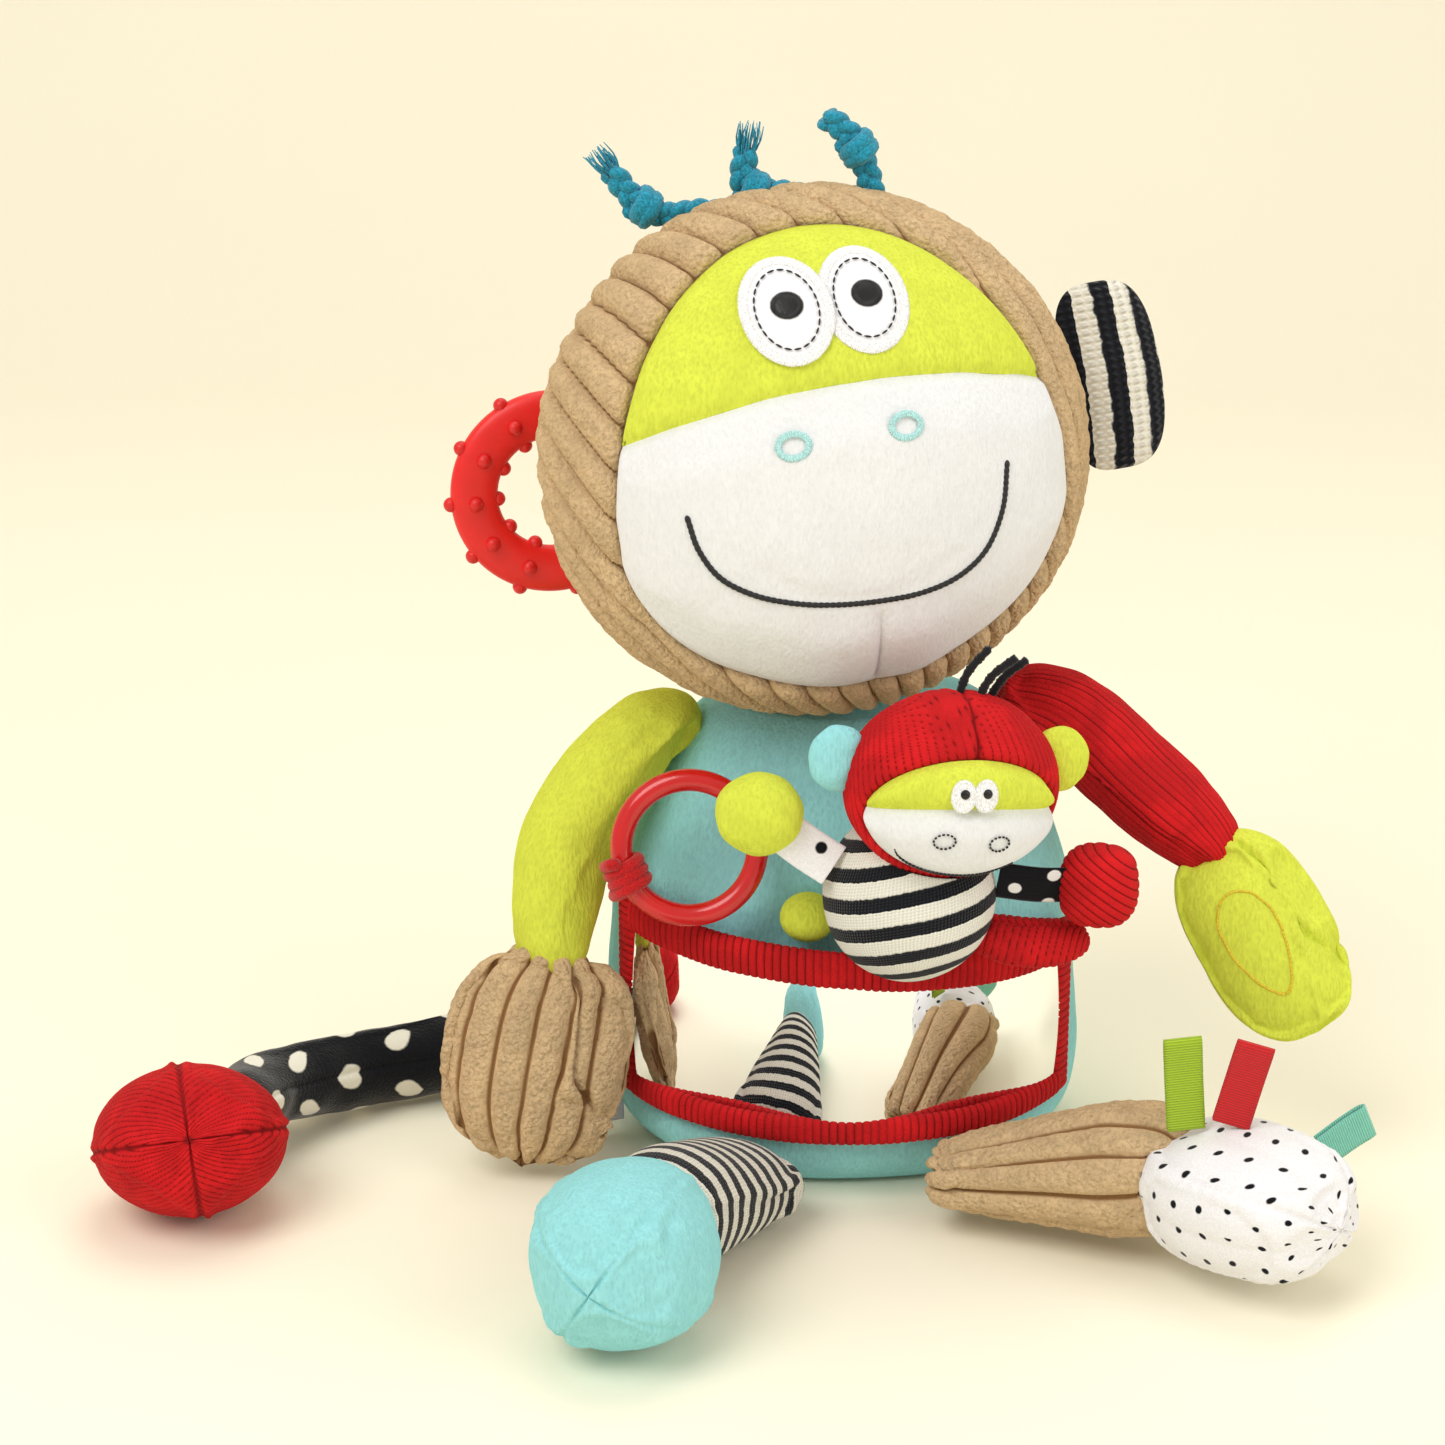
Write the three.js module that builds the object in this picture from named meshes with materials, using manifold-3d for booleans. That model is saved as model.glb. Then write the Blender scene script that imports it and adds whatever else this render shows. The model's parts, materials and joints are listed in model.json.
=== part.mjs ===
// Stuffed activity monkey for babies: a seated soft toy with a mirror pouch on its belly and a small
// monkey that lifts out of the pouch. Millimetres, +Z up, the monkey faces -Y, and the origin is the
// centre of the flat seat it sits on.
import * as THREE from 'three';
import { mergeVertices } from 'three/addons/utils/BufferGeometryUtils.js';
import Module from 'manifold-3d';

const wasm = await Module();
wasm.setup();

// ---- driving dimensions (mm) ----
const torsoHeight = 178; // seat to the top of the neck opening
const torsoHalfWidth = 86; // at the hips
const torsoHalfDepth = 74; // at the hips
const headHalfWidth = 96;
const headHalfDepth = 65;
const headHalfHeight = 91;
const cover = 1.6; // thickness of a sewn cover
const gap = 0.3; // between pieces that touch
const swing = 2; // between pieces that move past each other
const faceHalfWidth = 79;
const faceRise = 99; // from the widest line of the face up to its top
const faceDrop = 60; // from the same line down to the chin
const eyeHalfWidth = 14.5;
const eyeHalfHeight = 17.5;
const eyeSpacing = 13.3; // each eye's middle from the centre line
const eyeHeight = 46.5; // above the middle of the head
const patchThickness = 0.8;
const pouchReach = 1; // the pouch stands out this far beyond the body's sides
const pouchHalfWidth = torsoHalfWidth + pouchReach;
const pouchDepth = 80; // belly centre line to the front of the pouch
const pouchFloor = 25; // height of the pouch's lower edge
const pouchRim = 98; // height of the pouch's upper edge in the middle
const pouchSlant = 0.07; // the rim falls towards the monkey's left
const pouchWall = 2.4;
const topBinding = 13;
const bottomBinding = 9;
const sideBinding = 9;
const bindingThickness = 5;
const armRadius = 20;
const legRadius = 22;
const footRadius = 33;
const tailRadius = 14.5;
const bulbRadius = 36;
const teetherRadius = 38;
const teetherBand = 17.5;
const teetherThickness = 9;
const nubRadius = 3;
const ringRadius = 28;
const ringTube = 4;
const cordRadius = 2.4;
const ropeRadius = 4.7;
const knotRadius = 8;
const hairCordRadius = 1.6;
const earHalfHeight = 34;
const earHalfWidth = 17.5;
const earHeight = 9; // the ear's middle above the middle of the head
const earHalfThickness = 6;
const ribbonWidth = 13;
const babyHeadHalfWidth = 37;
const babyHeadHalfDepth = 26;
const babyHeadHalfHeight = 32;
const babyBodyRadius = 30;
const babyBodyHalfDepth = 24;
const babyBodyHalfHeight = 29;
const babyHandRadius = 14;
const babyHandHalfDepth = 11;
const babyEarRadius = 10;

const v = (x, y, z) => new THREE.Vector3(x, y, z);
const X = v(1, 0, 0);
const Y = v(0, 1, 0);
const Z = v(0, 0, 1);
const rad = THREE.MathUtils.degToRad;

// ---- places (mm) ----
const headCentre = v(-13, -22, torsoHeight + 88);
const headTurn = new THREE.Euler(rad(-15), rad(-7), rad(11), 'ZXY');
const headFrame = new THREE.Matrix4().compose(
  headCentre,
  new THREE.Quaternion().setFromEuler(headTurn),
  v(1, 1, 1),
);
const neckPivot = v(-10, 2, torsoHeight - 6);
const babyHeadCentre = v(32, -104, 170);
const babyHeadTurn = new THREE.Euler(rad(-6), rad(5), rad(15), 'ZXY');
const babyBodyCentre = v(19, -96, 129);
const faceLine = -22; // height of the face's widest line in the head's own frame
const browLine = 11; // where forehead and muzzle meet at the sides
const browArch = 9.5; // how far that line arches up in the middle

// ---- solids ----
// A closed solid from a geometry: shared vertices merged and pole slivers dropped.
function toSolid(geometry) {
  const bare = geometry.clone();
  bare.deleteAttribute('normal');
  bare.deleteAttribute('uv');
  const merged = mergeVertices(bare, 1e-4);
  const index = merged.index.array;
  const kept = [];
  for (let i = 0; i < index.length; i += 3) {
    const [a, b, c] = [index[i], index[i + 1], index[i + 2]];
    if (a !== b && b !== c && c !== a) kept.push(a, b, c);
  }
  const vertProperties = new Float32Array(merged.attributes.position.array);
  return new wasm.Manifold(new wasm.Mesh({ numProp: 3, vertProperties, triVerts: new Uint32Array(kept) }));
}

function toGeometry(solid) {
  const { vertProperties, triVerts } = solid.getMesh();
  const geometry = new THREE.BufferGeometry();
  geometry.setAttribute('position', new THREE.BufferAttribute(new Float32Array(vertProperties), 3));
  geometry.setIndex(new THREE.BufferAttribute(new Uint32Array(triVerts), 1));
  return geometry;
}

// A stuffed tube along a spine. sizeAt(u) gives its half-widths along `side` and across it, `square`
// sets how blunt the ends are (2 is an ellipsoid), and `inset` shrinks it evenly for a lining.
function stuffed(spine, sizeAt, { side = Z, square = 4, around = 12, rings = 7, inset = 0 } = {}) {
  const length = spine.getLength();
  const profile = [];
  for (let i = 0; i <= rings; i += 1) {
    const u = (1 - Math.cos((Math.PI * i) / rings)) / 2;
    const end = Math.max(0, 1 - Math.abs(2 * u - 1) ** square) ** (1 / square);
    profile.push(new THREE.Vector2(i % rings ? end : 0, u));
  }
  const geometry = new THREE.LatheGeometry(profile, around);
  const position = geometry.attributes.position;
  for (let i = 0; i < position.count; i += 1) {
    const u = position.getY(i);
    const s = inset / length + u * (1 - (2 * inset) / length);
    const onSpine = THREE.MathUtils.clamp(s, 0, 1);
    const along = spine.getTangentAt(onSpine);
    const centre = spine.getPointAt(onSpine).addScaledVector(along, (s - onSpine) * length);
    const across = v(0, 0, 0).crossVectors(along, side).normalize();
    const up = v(0, 0, 0).crossVectors(across, along);
    const [upHalf, acrossHalf] = sizeAt(u);
    centre.addScaledVector(up, position.getX(i) * (upHalf - inset));
    centre.addScaledVector(across, position.getZ(i) * (acrossHalf - inset));
    position.setXYZ(i, centre.x, centre.y, centre.z);
  }
  return outward(toSolid(geometry));
}

// Turns a solid the right way out when its mapping mirrored it.
function outward(solid) {
  if (solid.volume() > 0) return solid;
  const { vertProperties, triVerts } = solid.getMesh();
  const flipped = new Uint32Array(triVerts.length);
  for (let i = 0; i < triVerts.length; i += 3) {
    flipped.set([triVerts[i], triVerts[i + 2], triVerts[i + 1]], i);
  }
  return new wasm.Manifold(new wasm.Mesh({ numProp: 3, vertProperties, triVerts: flipped }));
}

function moved(geometry, matrix) {
  return geometry.clone().applyMatrix4(matrix);
}

function ellipsoid(centre, half, { turn = new THREE.Euler(), around = 16, rings = 10 } = {}) {
  const place = new THREE.Matrix4().compose(centre, new THREE.Quaternion().setFromEuler(turn), half);
  return toSolid(moved(new THREE.SphereGeometry(1, around, rings), place));
}

// Everything on the side of a plane that its normal points to.
function halfSpace(point, normal) {
  const size = 900;
  const turn = new THREE.Quaternion().setFromUnitVectors(Z, normal.clone().normalize());
  const centre = point.clone().addScaledVector(normal.clone().normalize(), size / 2);
  const place = new THREE.Matrix4().compose(centre, turn, v(1, 1, 1));
  return toSolid(moved(new THREE.BoxGeometry(size, size, size), place));
}

// A shape drawn in X and Z, pushed along Y.
function prism(shape, fromY, toY, segments = 14) {
  const geometry = new THREE.ExtrudeGeometry(shape, {
    depth: toY - fromY,
    bevelEnabled: false,
    curveSegments: segments,
  });
  geometry.applyMatrix4(new THREE.Matrix4().makeRotationX(Math.PI / 2));
  geometry.translate(0, toY, 0);
  return toSolid(geometry);
}

function ellipseShape(x, z, halfX, halfZ, lean = 0) {
  const shape = new THREE.Shape();
  shape.absellipse(x, z, halfX, halfZ, 0, 2 * Math.PI, false, lean);
  return shape;
}

// A plain round cord or flat ribbon along a curve, with open ends closed flat.
function swept(curve, section, steps) {
  return toSolid(new THREE.ExtrudeGeometry(section, { steps, bevelEnabled: false, extrudePath: curve }));
}

function roundSection(radius, sides = 8) {
  const points = [];
  for (let i = 0; i < sides; i += 1) {
    const angle = (2 * Math.PI * i) / sides;
    points.push(new THREE.Vector2(radius * Math.cos(angle), radius * Math.sin(angle)));
  }
  return new THREE.Shape(points);
}

const spline = (...points) => new THREE.CatmullRomCurve3(points);

// A sewn cover that is open where `mouth` cuts it: the outside less its lining.
function shell(make, mouth) {
  return make(0).subtract(make(cover)).subtract(mouth);
}

// ---- group and materials ----
const group = new THREE.Group();
group.name = 'activity_monkey';
const headGroup = new THREE.Group();
headGroup.applyMatrix4(headFrame);
group.add(headGroup);

const LIME = 0xd3e02c;
const AQUA = 0x79cdd0;
const PALE = 0xe9e6ea;
const TAN = 0xbf9b6e;
const RED = 0xc01c22;
const GLOSS_RED = 0xe8231e;
const TEAL = 0x1d97b0;
const BLACK = 0x101216;
const FIBRE = 0xf4f4f2;
const HARD_WHITE = 0xf2f2ee;

function add(name, solid, colour, { parent = group, roughness = 0.9, metalness = 0 } = {}) {
  const material = new THREE.MeshStandardMaterial({ color: colour, roughness, metalness });
  const mesh = new THREE.Mesh(toGeometry(solid), material);
  mesh.name = name;
  parent.add(mesh);
}

// ---- head shapes, in the head's own frame ----
const headOuter = (inset) =>
  ellipsoid(v(0, 0, 0), v(headHalfWidth - inset, headHalfDepth - inset, headHalfHeight - inset), {
    around: 24,
    rings: 14,
  });

function faceShape(shrink) {
  const shape = new THREE.Shape();
  shape.absellipse(0, faceLine, faceHalfWidth - shrink, faceRise - shrink, 0, Math.PI, false);
  shape.absellipse(0, faceLine, faceHalfWidth - shrink, faceDrop - shrink, Math.PI, 2 * Math.PI, false);
  return shape;
}

// Everything under the line where forehead and muzzle meet.
function lowerFaceShape(lower) {
  const side = headHalfWidth + 10;
  const z = browLine - lower;
  const middle = browArch * (side / faceHalfWidth) ** 2;
  const shape = new THREE.Shape();
  shape.moveTo(-side, -2 * headHalfHeight);
  shape.lineTo(side, -2 * headHalfHeight);
  shape.lineTo(side, z + browArch - middle);
  shape.quadraticCurveTo(0, z + browArch + middle, -side, z + browArch - middle);
  shape.closePath();
  return shape;
}

function headPieces() {
  const skin = headOuter(0).subtract(headOuter(cover));
  const front = headHalfDepth + 20;
  const seam = 8; // the side seam that holds the ears, behind the middle
  const facePrism = prism(faceShape(0), -front, -cover);
  const faceInner = prism(faceShape(gap), -front, -cover);
  const behindSeam = halfSpace(v(0, seam, 0), Y);
  const aheadOfSeam = halfSpace(v(0, seam + gap, 0), v(0, -1, 0));
  const neckHole = ellipsoid(v(4, 16, -headHalfHeight), v(neckRadius, neckRadius, 26));
  const hoodFront = skin.subtract(facePrism).subtract(behindSeam).subtract(neckHole);
  add('hood_front', hoodFront, TAN, { parent: headGroup, roughness: 1 });
  add('hood_back', skin.subtract(aheadOfSeam).subtract(neckHole), TAN, { parent: headGroup, roughness: 1 });
  const face = skin.intersect(faceInner);
  const forehead = face.subtract(prism(lowerFaceShape(0), -front, 0));
  add('forehead_panel', forehead, LIME, { parent: headGroup });
  add('muzzle_panel', face.intersect(prism(lowerFaceShape(gap), -front, 0)), PALE, { parent: headGroup });
  const filling = headOuter(cover + gap).subtract(neckHole);
  add('head_filling', filling, FIBRE, { parent: headGroup });
  const eyeLayer = headOuter(-gap - patchThickness).subtract(headOuter(-gap));
  // Both eyes are one patch: two ovals that overlap in the middle.
  const eyeOval = (x) => prism(ellipseShape(x, eyeHeight, eyeHalfWidth, eyeHalfHeight), -front, 0);
  const eyePatch = eyeLayer.intersect(eyeOval(-eyeSpacing).add(eyeOval(eyeSpacing)));
  add('eye_patch', eyePatch, PALE, { parent: headGroup, roughness: 0.6 });
}

// The striped ear on the monkey's left, flat, held along its inner edge by the side seam.
function stripedEar() {
  const x = headHalfWidth + swing + earHalfWidth;
  const ends = [-1, 0, 1].map((way) => v(x, 6, earHeight + way * earHalfHeight));
  const spine = spline(...ends);
  const ear = stuffed(spine, () => [earHalfWidth, earHalfThickness], { side: X, square: 3, around: 14 });
  add('striped_ear', ear, BLACK, { parent: headGroup });
}

// ---- teether ear ----
const loopPlace = 0.6916; // how far out on the head its loop sits, as a share of the half width
const teetherOut = teetherRadius - 9.3936; // from there to the ring's middle
const teetherCentre = v(headCentre.x - loopPlace * headHalfWidth - teetherOut, 24, headCentre.z - 26);
const teetherTurn = rad(12);
const teetherMid = teetherRadius - teetherBand / 2;
const teetherInward = v(Math.cos(teetherTurn), Math.sin(teetherTurn), 0);
const teetherHinge = teetherCentre.clone().addScaledVector(teetherInward, teetherMid);

function teether() {
  const half = teetherThickness / 2;
  const inner = teetherRadius - teetherBand;
  const edge = 2;
  const profile = [
    [inner, -half + edge],
    [inner + edge, -half],
    [teetherRadius - edge, -half],
    [teetherRadius, -half + edge],
    [teetherRadius, half - edge],
    [teetherRadius - edge, half],
    [inner + edge, half],
    [inner, half - edge],
    [inner, -half + edge],
  ].map(([r, y]) => new THREE.Vector2(r, y));
  let ring = outward(toSolid(new THREE.LatheGeometry(profile, 30)));
  const nubsAround = 11;
  const clearOfLoop = 2;
  for (let i = clearOfLoop; i <= nubsAround - clearOfLoop; i += 1) {
    const angle = (2 * Math.PI * i) / nubsAround;
    for (const [r, y] of [[teetherRadius, 0], [inner, 0], [teetherMid, -half]]) {
      const centre = v(r * Math.cos(angle), y, r * Math.sin(angle));
      const nub = ellipsoid(centre, v(nubRadius, nubRadius, nubRadius), { around: 6, rings: 4 });
      ring = ring.add(nub);
    }
  }
  const turn = new THREE.Quaternion().setFromAxisAngle(Z, teetherTurn);
  const place = new THREE.Matrix4().compose(teetherCentre, turn, v(1, 1, 1));
  const geometry = moved(toGeometry(ring), place);
  add('teether_ring', toSolid(geometry), GLOSS_RED, { roughness: 0.35 });

  // The fabric loop is a flat band around the ring, sewn into the head's side seam.
  const wide = teetherBand / 2 + swing + 1;
  const outline = new THREE.Shape();
  outline.absarc(0, 0, wide + cover, 0, 2 * Math.PI, false);
  const hole = new THREE.Path();
  hole.absarc(0, 0, wide, 0, 2 * Math.PI, false);
  outline.holes.push(hole);
  const loopHeight = 14;
  const band = new THREE.ExtrudeGeometry(outline, {
    depth: loopHeight,
    bevelEnabled: false,
    curveSegments: 8,
  });
  band.translate(0, 0, -loopHeight / 2);
  const loopPlace = new THREE.Matrix4().compose(teetherHinge, turn, v(1, 1, 1));
  const headWorld = toSolid(moved(toGeometry(headOuter(-gap)), headFrame));
  add('teether_loop', toSolid(moved(band, loopPlace)).subtract(headWorld), TAN);
}

// ---- hair: three knotted ropes ----
const ropes = [
  [v(-52, 0, 81), v(-66, 0, 80), v(-77, 0, 86), v(-84, 0, 95)],
  [v(-20, 0, 87), v(-29, 0, 88), v(-38, 0, 91), v(-37, 0, 102)],
  [v(7, 0, 89), v(4, 0, 99), v(-1, 0, 108), v(-9, 0, 114)],
].map((points) => points.map((p) => p.setZ(p.z + headCentre.z)));

function hair() {
  const headWorld = toSolid(moved(toGeometry(headOuter(-gap)), headFrame));
  ropes.forEach((points, i) => {
    const curve = spline(...points);
    const rope = swept(curve, roundSection(ropeRadius, 8), 8);
    const knot = ellipsoid(points[2], v(knotRadius, knotRadius * 0.8, knotRadius), { around: 10, rings: 6 });
    add(`hair_rope_${i + 1}`, rope.add(knot).subtract(headWorld), TEAL);
  });
}

// ---- torso ----
const neckRadius = 30;
const torsoLevels = new THREE.CatmullRomCurve3([
  v(torsoHalfWidth - 6, torsoHalfDepth - 8, 0),
  v(torsoHalfWidth, torsoHalfDepth, 0.1),
  v(torsoHalfWidth, torsoHalfDepth - 1, 0.2),
  v(torsoHalfWidth - 2, torsoHalfDepth - 8, 0.38),
  v(torsoHalfWidth - 3, torsoHalfDepth - 14, 0.55),
  v(torsoHalfWidth - 12, torsoHalfDepth - 21, 0.75),
  v(torsoHalfWidth - 22, torsoHalfDepth - 30, 0.9),
  v(torsoHalfWidth - 34, torsoHalfDepth - 38, 1),
]);
const blunt = 7; // how blunt the torso's two ends are
const torsoSunk = 6; // cut off flat for the seat

function torsoForm(inset) {
  const spine = spline(v(0, 0, -torsoSunk), v(0, 0, torsoHeight / 2), v(3, 0, torsoHeight));
  const size = (u) => {
    const p = torsoLevels.getPoint(u);
    return [p.x, p.y];
  };
  return stuffed(spine, size, { side: X, square: blunt, around: 24, rings: 9, inset })
    .subtract(halfSpace(v(0, 0, inset), v(0, 0, -1)));
}

// The space the head sweeps as it nods and turns on the neck.
function headSweep() {
  const clear = headOuter(-swing);
  let sweep = null;
  for (const [nod, turn] of [[0, 0], [-12, 20], [-12, -20], [5, 20], [5, -20]]) {
    const swung = new THREE.Matrix4().makeTranslation(neckPivot.x, neckPivot.y, neckPivot.z)
      .multiply(new THREE.Matrix4().makeRotationZ(rad(turn)))
      .multiply(new THREE.Matrix4().makeRotationX(rad(nod)))
      .multiply(new THREE.Matrix4().makeTranslation(-neckPivot.x, -neckPivot.y, -neckPivot.z))
      .multiply(headFrame);
    const pose = toSolid(moved(toGeometry(clear), swung));
    sweep = sweep ? sweep.add(pose) : pose;
  }
  return sweep;
}

// The small monkey's right foot rests against the belly, which gives way to it by `room`.
function limeFoot(room) {
  return ellipsoid(v(-15, -66.5, 107), v(10 + room, 8.5 + room, 9 + room), { around: 12, rings: 8 });
}

function torso() {
  const sweep = headSweep();
  const neckWell = ellipsoid(v(neckPivot.x, neckPivot.y, torsoHeight), v(18, 18, 26));
  const outside = torsoForm(0).subtract(sweep).subtract(limeFoot(gap));
  const lining = torsoForm(cover);
  const clearWall = bindingThickness + 2 * gap;
  const pouchSpace = pouchPanel(-pouchEnd, pouchEnd, () => 0, () => torsoHeight, clearWall, 24);
  add('torso_cover', outside.subtract(lining).subtract(neckWell).subtract(pouchSpace), AQUA);
  const bagTop = 22;
  const bagHalf = v(torsoHalfWidth - 26, torsoHalfDepth - 22, bagTop);
  const bag = ellipsoid(v(0, 0, cover + gap), bagHalf).subtract(halfSpace(v(0, 0, cover + gap), v(0, 0, -1)));
  const bagSpace = ellipsoid(v(0, 0, cover + gap), bagHalf.clone().addScalar(1));
  const hollows = sweep.add(neckWell).add(bagSpace).add(limeFoot(cover + 2 * gap));
  const filling = torsoForm(cover + gap).subtract(hollows);
  add('torso_filling', filling, FIBRE);
  add('seat_bead_bag', bag, 0xcfc8b8);
  const plugCentre = v(neckPivot.x, neckPivot.y, torsoHeight - 3);
  const plug = ellipsoid(plugCentre, v(15, 15, 18));
  const headWorld = toSolid(moved(toGeometry(headOuter(-gap)), headFrame));
  add('neck_plug', clearOf(plug, headWorld, neckPivot, X, [12, 6, 0, -5]), AQUA);
}

// ---- pouch ----
const pouchEnd = 70; // degrees to each side of the middle
const rimHeight = (x) => pouchRim - pouchSlant * x;

class PouchLine extends THREE.Curve {
  constructor(from, to, height) {
    super();
    Object.assign(this, { from, to, height });
  }

  getPoint(t, target = new THREE.Vector3()) {
    const angle = rad(this.from + (this.to - this.from) * t);
    return target.set(pouchHalfWidth * Math.sin(angle), -pouchDepth * Math.cos(angle), this.height);
  }
}

// A curved wall of the pouch between two angles, from one height to another (functions of x).
function pouchPanel(from, to, lowAt, highAt, thickness, steps) {
  const shape = new THREE.Shape();
  const line = new PouchLine(from, to, 0);
  const edges = [1, -1].map((way) => line.getPoints(steps).map((p) => {
    const out = v(p.x / pouchHalfWidth ** 2, p.y / pouchDepth ** 2, 0).normalize();
    return p.addScaledVector(out, (way * thickness) / 2);
  }));
  const loop = [...edges[0], ...edges[1].reverse()];
  shape.setFromPoints(loop.map((p) => new THREE.Vector2(p.x, p.y)));
  const wall = new THREE.ExtrudeGeometry(shape, { depth: 1, bevelEnabled: false });
  const position = wall.attributes.position;
  for (let i = 0; i < position.count; i += 1) {
    const x = position.getX(i);
    position.setZ(i, position.getZ(i) > 0.5 ? highAt(x) : lowAt(x));
  }
  return outward(toSolid(wall));
}

function pouch() {
  const low = () => pouchFloor;
  const mirrorLow = () => pouchFloor + bottomBinding + gap;
  const mirrorHigh = (x) => rimHeight(x) - topBinding - gap;
  const bindingLow = (x) => rimHeight(x) - topBinding;
  const bottomHigh = () => pouchFloor + bottomBinding;
  const sideAngle = THREE.MathUtils.radToDeg(sideBinding / pouchHalfWidth) * 1.4;
  const gapAngle = THREE.MathUtils.radToDeg(gap / pouchDepth) * 2;
  const inner = pouchEnd - sideAngle;
  const steps = 24;
  const gloss = { roughness: 0.05, metalness: 1 };
  add('pouch_mirror', pouchPanel(-inner, inner, mirrorLow, mirrorHigh, pouchWall, steps), 0xdfe3e6, gloss);
  const long = (lowAt, highAt) => pouchPanel(-inner, inner, lowAt, highAt, bindingThickness, steps);
  add('pouch_top_binding', long(bindingLow, rimHeight), RED);
  add('pouch_bottom_binding', long(low, bottomHigh), RED);
  const right = pouchPanel(-pouchEnd, -inner - gapAngle, low, rimHeight, bindingThickness, 4);
  const left = pouchPanel(inner + gapAngle, pouchEnd, low, rimHeight, bindingThickness, 4);
  add('pouch_right_binding', right, RED);
  add('pouch_left_binding', left, RED);
}

// ---- grab ring and its cord ----
const wrapSide = -85; // the ring's outer edge, where the cord holds it
const ringLow = 105; // its lowest point stays clear of the pouch's rim
const ringCentre = v(wrapSide + ringRadius, -66, ringLow + ringRadius);
const ringLean = rad(-14); // it leans back against the belly
const wrapAngle = rad(203);
const ringTurn = new THREE.Quaternion().setFromAxisAngle(X, ringLean);
const ringFrame = new THREE.Matrix4().compose(ringCentre, ringTurn, v(1, 1, 1));
const wrapCentre = v(
  (ringRadius - ringTube) * Math.cos(wrapAngle),
  0,
  (ringRadius - ringTube) * Math.sin(wrapAngle),
).applyMatrix4(ringFrame);

function grabRing() {
  const tube = new THREE.TorusGeometry(ringRadius - ringTube, ringTube, 8, 32);
  tube.rotateX(Math.PI / 2);
  add('grab_ring', toSolid(moved(tube, ringFrame)), GLOSS_RED, { roughness: 0.2 });
  // Three turns of cord around the ring, then its two ends sewn into the pouch's corner.
  const turns = 3;
  const wrapInner = ringTube + 1.5;
  const wrapOuter = wrapInner + 2 * cordRadius;
  const half = turns * cordRadius;
  const profile = [
    [wrapInner, -half],
    [wrapOuter, -half],
    [wrapOuter, half],
    [wrapInner, half],
    [wrapInner, -half],
  ].map(([r, y]) => new THREE.Vector2(r, y));
  const wrap = new THREE.LatheGeometry(profile, 16);
  const alongRing = new THREE.Quaternion().setFromUnitVectors(
    Y,
    v(-Math.sin(wrapAngle), 0, Math.cos(wrapAngle)),
  );
  const place = new THREE.Matrix4().compose(wrapCentre, ringTurn.clone().multiply(alongRing), v(1, 1, 1));
  const corner = v(-pouchHalfWidth * Math.sin(rad(pouchEnd)) + 1, -pouchDepth * Math.cos(rad(pouchEnd)), 0);
  corner.z = rimHeight(corner.x) + cordRadius * 1.3 + gap;
  const start = wrapCentre.clone().add(v(-wrapInner - cordRadius, 2, -2));
  const ends = spline(start, start.clone().lerp(corner, 0.5).add(v(-2, 0, 0)), corner);
  const cord = swept(ends, roundSection(cordRadius * 1.3), 6);
  const wrapSolid = outward(toSolid(moved(wrap, place)));
  add('ring_cord', wrapSolid.add(cord), RED);
}

// ---- arms ----
const beside = (out, y, z) => v(Math.sign(out) * torsoHalfWidth + out, y, z); // a place beside the hips
const rightShoulder = v(14 - torsoHalfWidth, -14, 160);
const rightWrist = beside(-21, -42, 77);
const leftShoulder = v(torsoHalfWidth - 11, -9, 168);
const leftWrist = beside(47, -42, 122);
const rightAxis = v(-Math.cos(rad(25)), Math.sin(rad(25)), 0); // swings forward and a little outward
const rightSwing = [0, 35, 70, 95]; // degrees forward
const leftSwing = [15, 0, -30, -60]; // degrees down, then up, about Y

function turned(solid, pivot, axis, degrees) {
  const turn = new THREE.Matrix4().makeTranslation(pivot.x, pivot.y, pivot.z)
    .multiply(new THREE.Matrix4().makeRotationAxis(axis, rad(degrees)))
    .multiply(new THREE.Matrix4().makeTranslation(-pivot.x, -pivot.y, -pivot.z));
  return toSolid(moved(toGeometry(solid), turn));
}

// Cuts from a solid what would run into `fixed` as it turns through the angles.
function clearOf(solid, fixed, pivot, axis, angles) {
  return angles.reduce((left, angle) => left.subtract(turned(fixed, pivot, axis, -angle)), solid);
}

function arm(side, shoulder, elbow, wrist, { handTip, handHalf, axis, angles, colours }) {
  const spine = spline(shoulder, elbow, wrist, wrist.clone().lerp(handTip, 0.2));
  const sleeveForm = (inset) =>
    stuffed(spine, (u) => [armRadius * (0.86 + 0.26 * Math.sin(Math.PI * u)), armRadius * 0.98], {
      side: Y,
      inset,
      square: 6,
    });
  const down = handTip.clone().sub(wrist).normalize();
  const body = torsoForm(-swing);
  const bodyForLining = torsoForm(-swing - cover - gap);
  const sleeve = shell(sleeveForm, halfSpace(wrist, down));
  add(`${side}_sleeve`, clearOf(sleeve, body, shoulder, axis, angles), colours[0]);
  const stuffingEnd = wrist.clone().addScaledVector(down, -gap);
  const stuffing = sleeveForm(cover + gap).subtract(halfSpace(stuffingEnd, down));
  add(`${side}_arm_filling`, clearOf(stuffing, bodyForLining, shoulder, axis, angles), FIBRE);
  const heel = wrist.clone().addScaledVector(down, -6);
  const handForm = (inset) =>
    stuffed(spline(heel, wrist.clone().lerp(handTip, 0.5), handTip), () => handHalf, {
      side: X,
      inset,
      square: 2.6,
    });
  const cuff = halfSpace(wrist.clone().addScaledVector(down, gap), down.clone().negate());
  add(`${side}_mitten`, shell(handForm, cuff), colours[1]);
}

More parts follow.
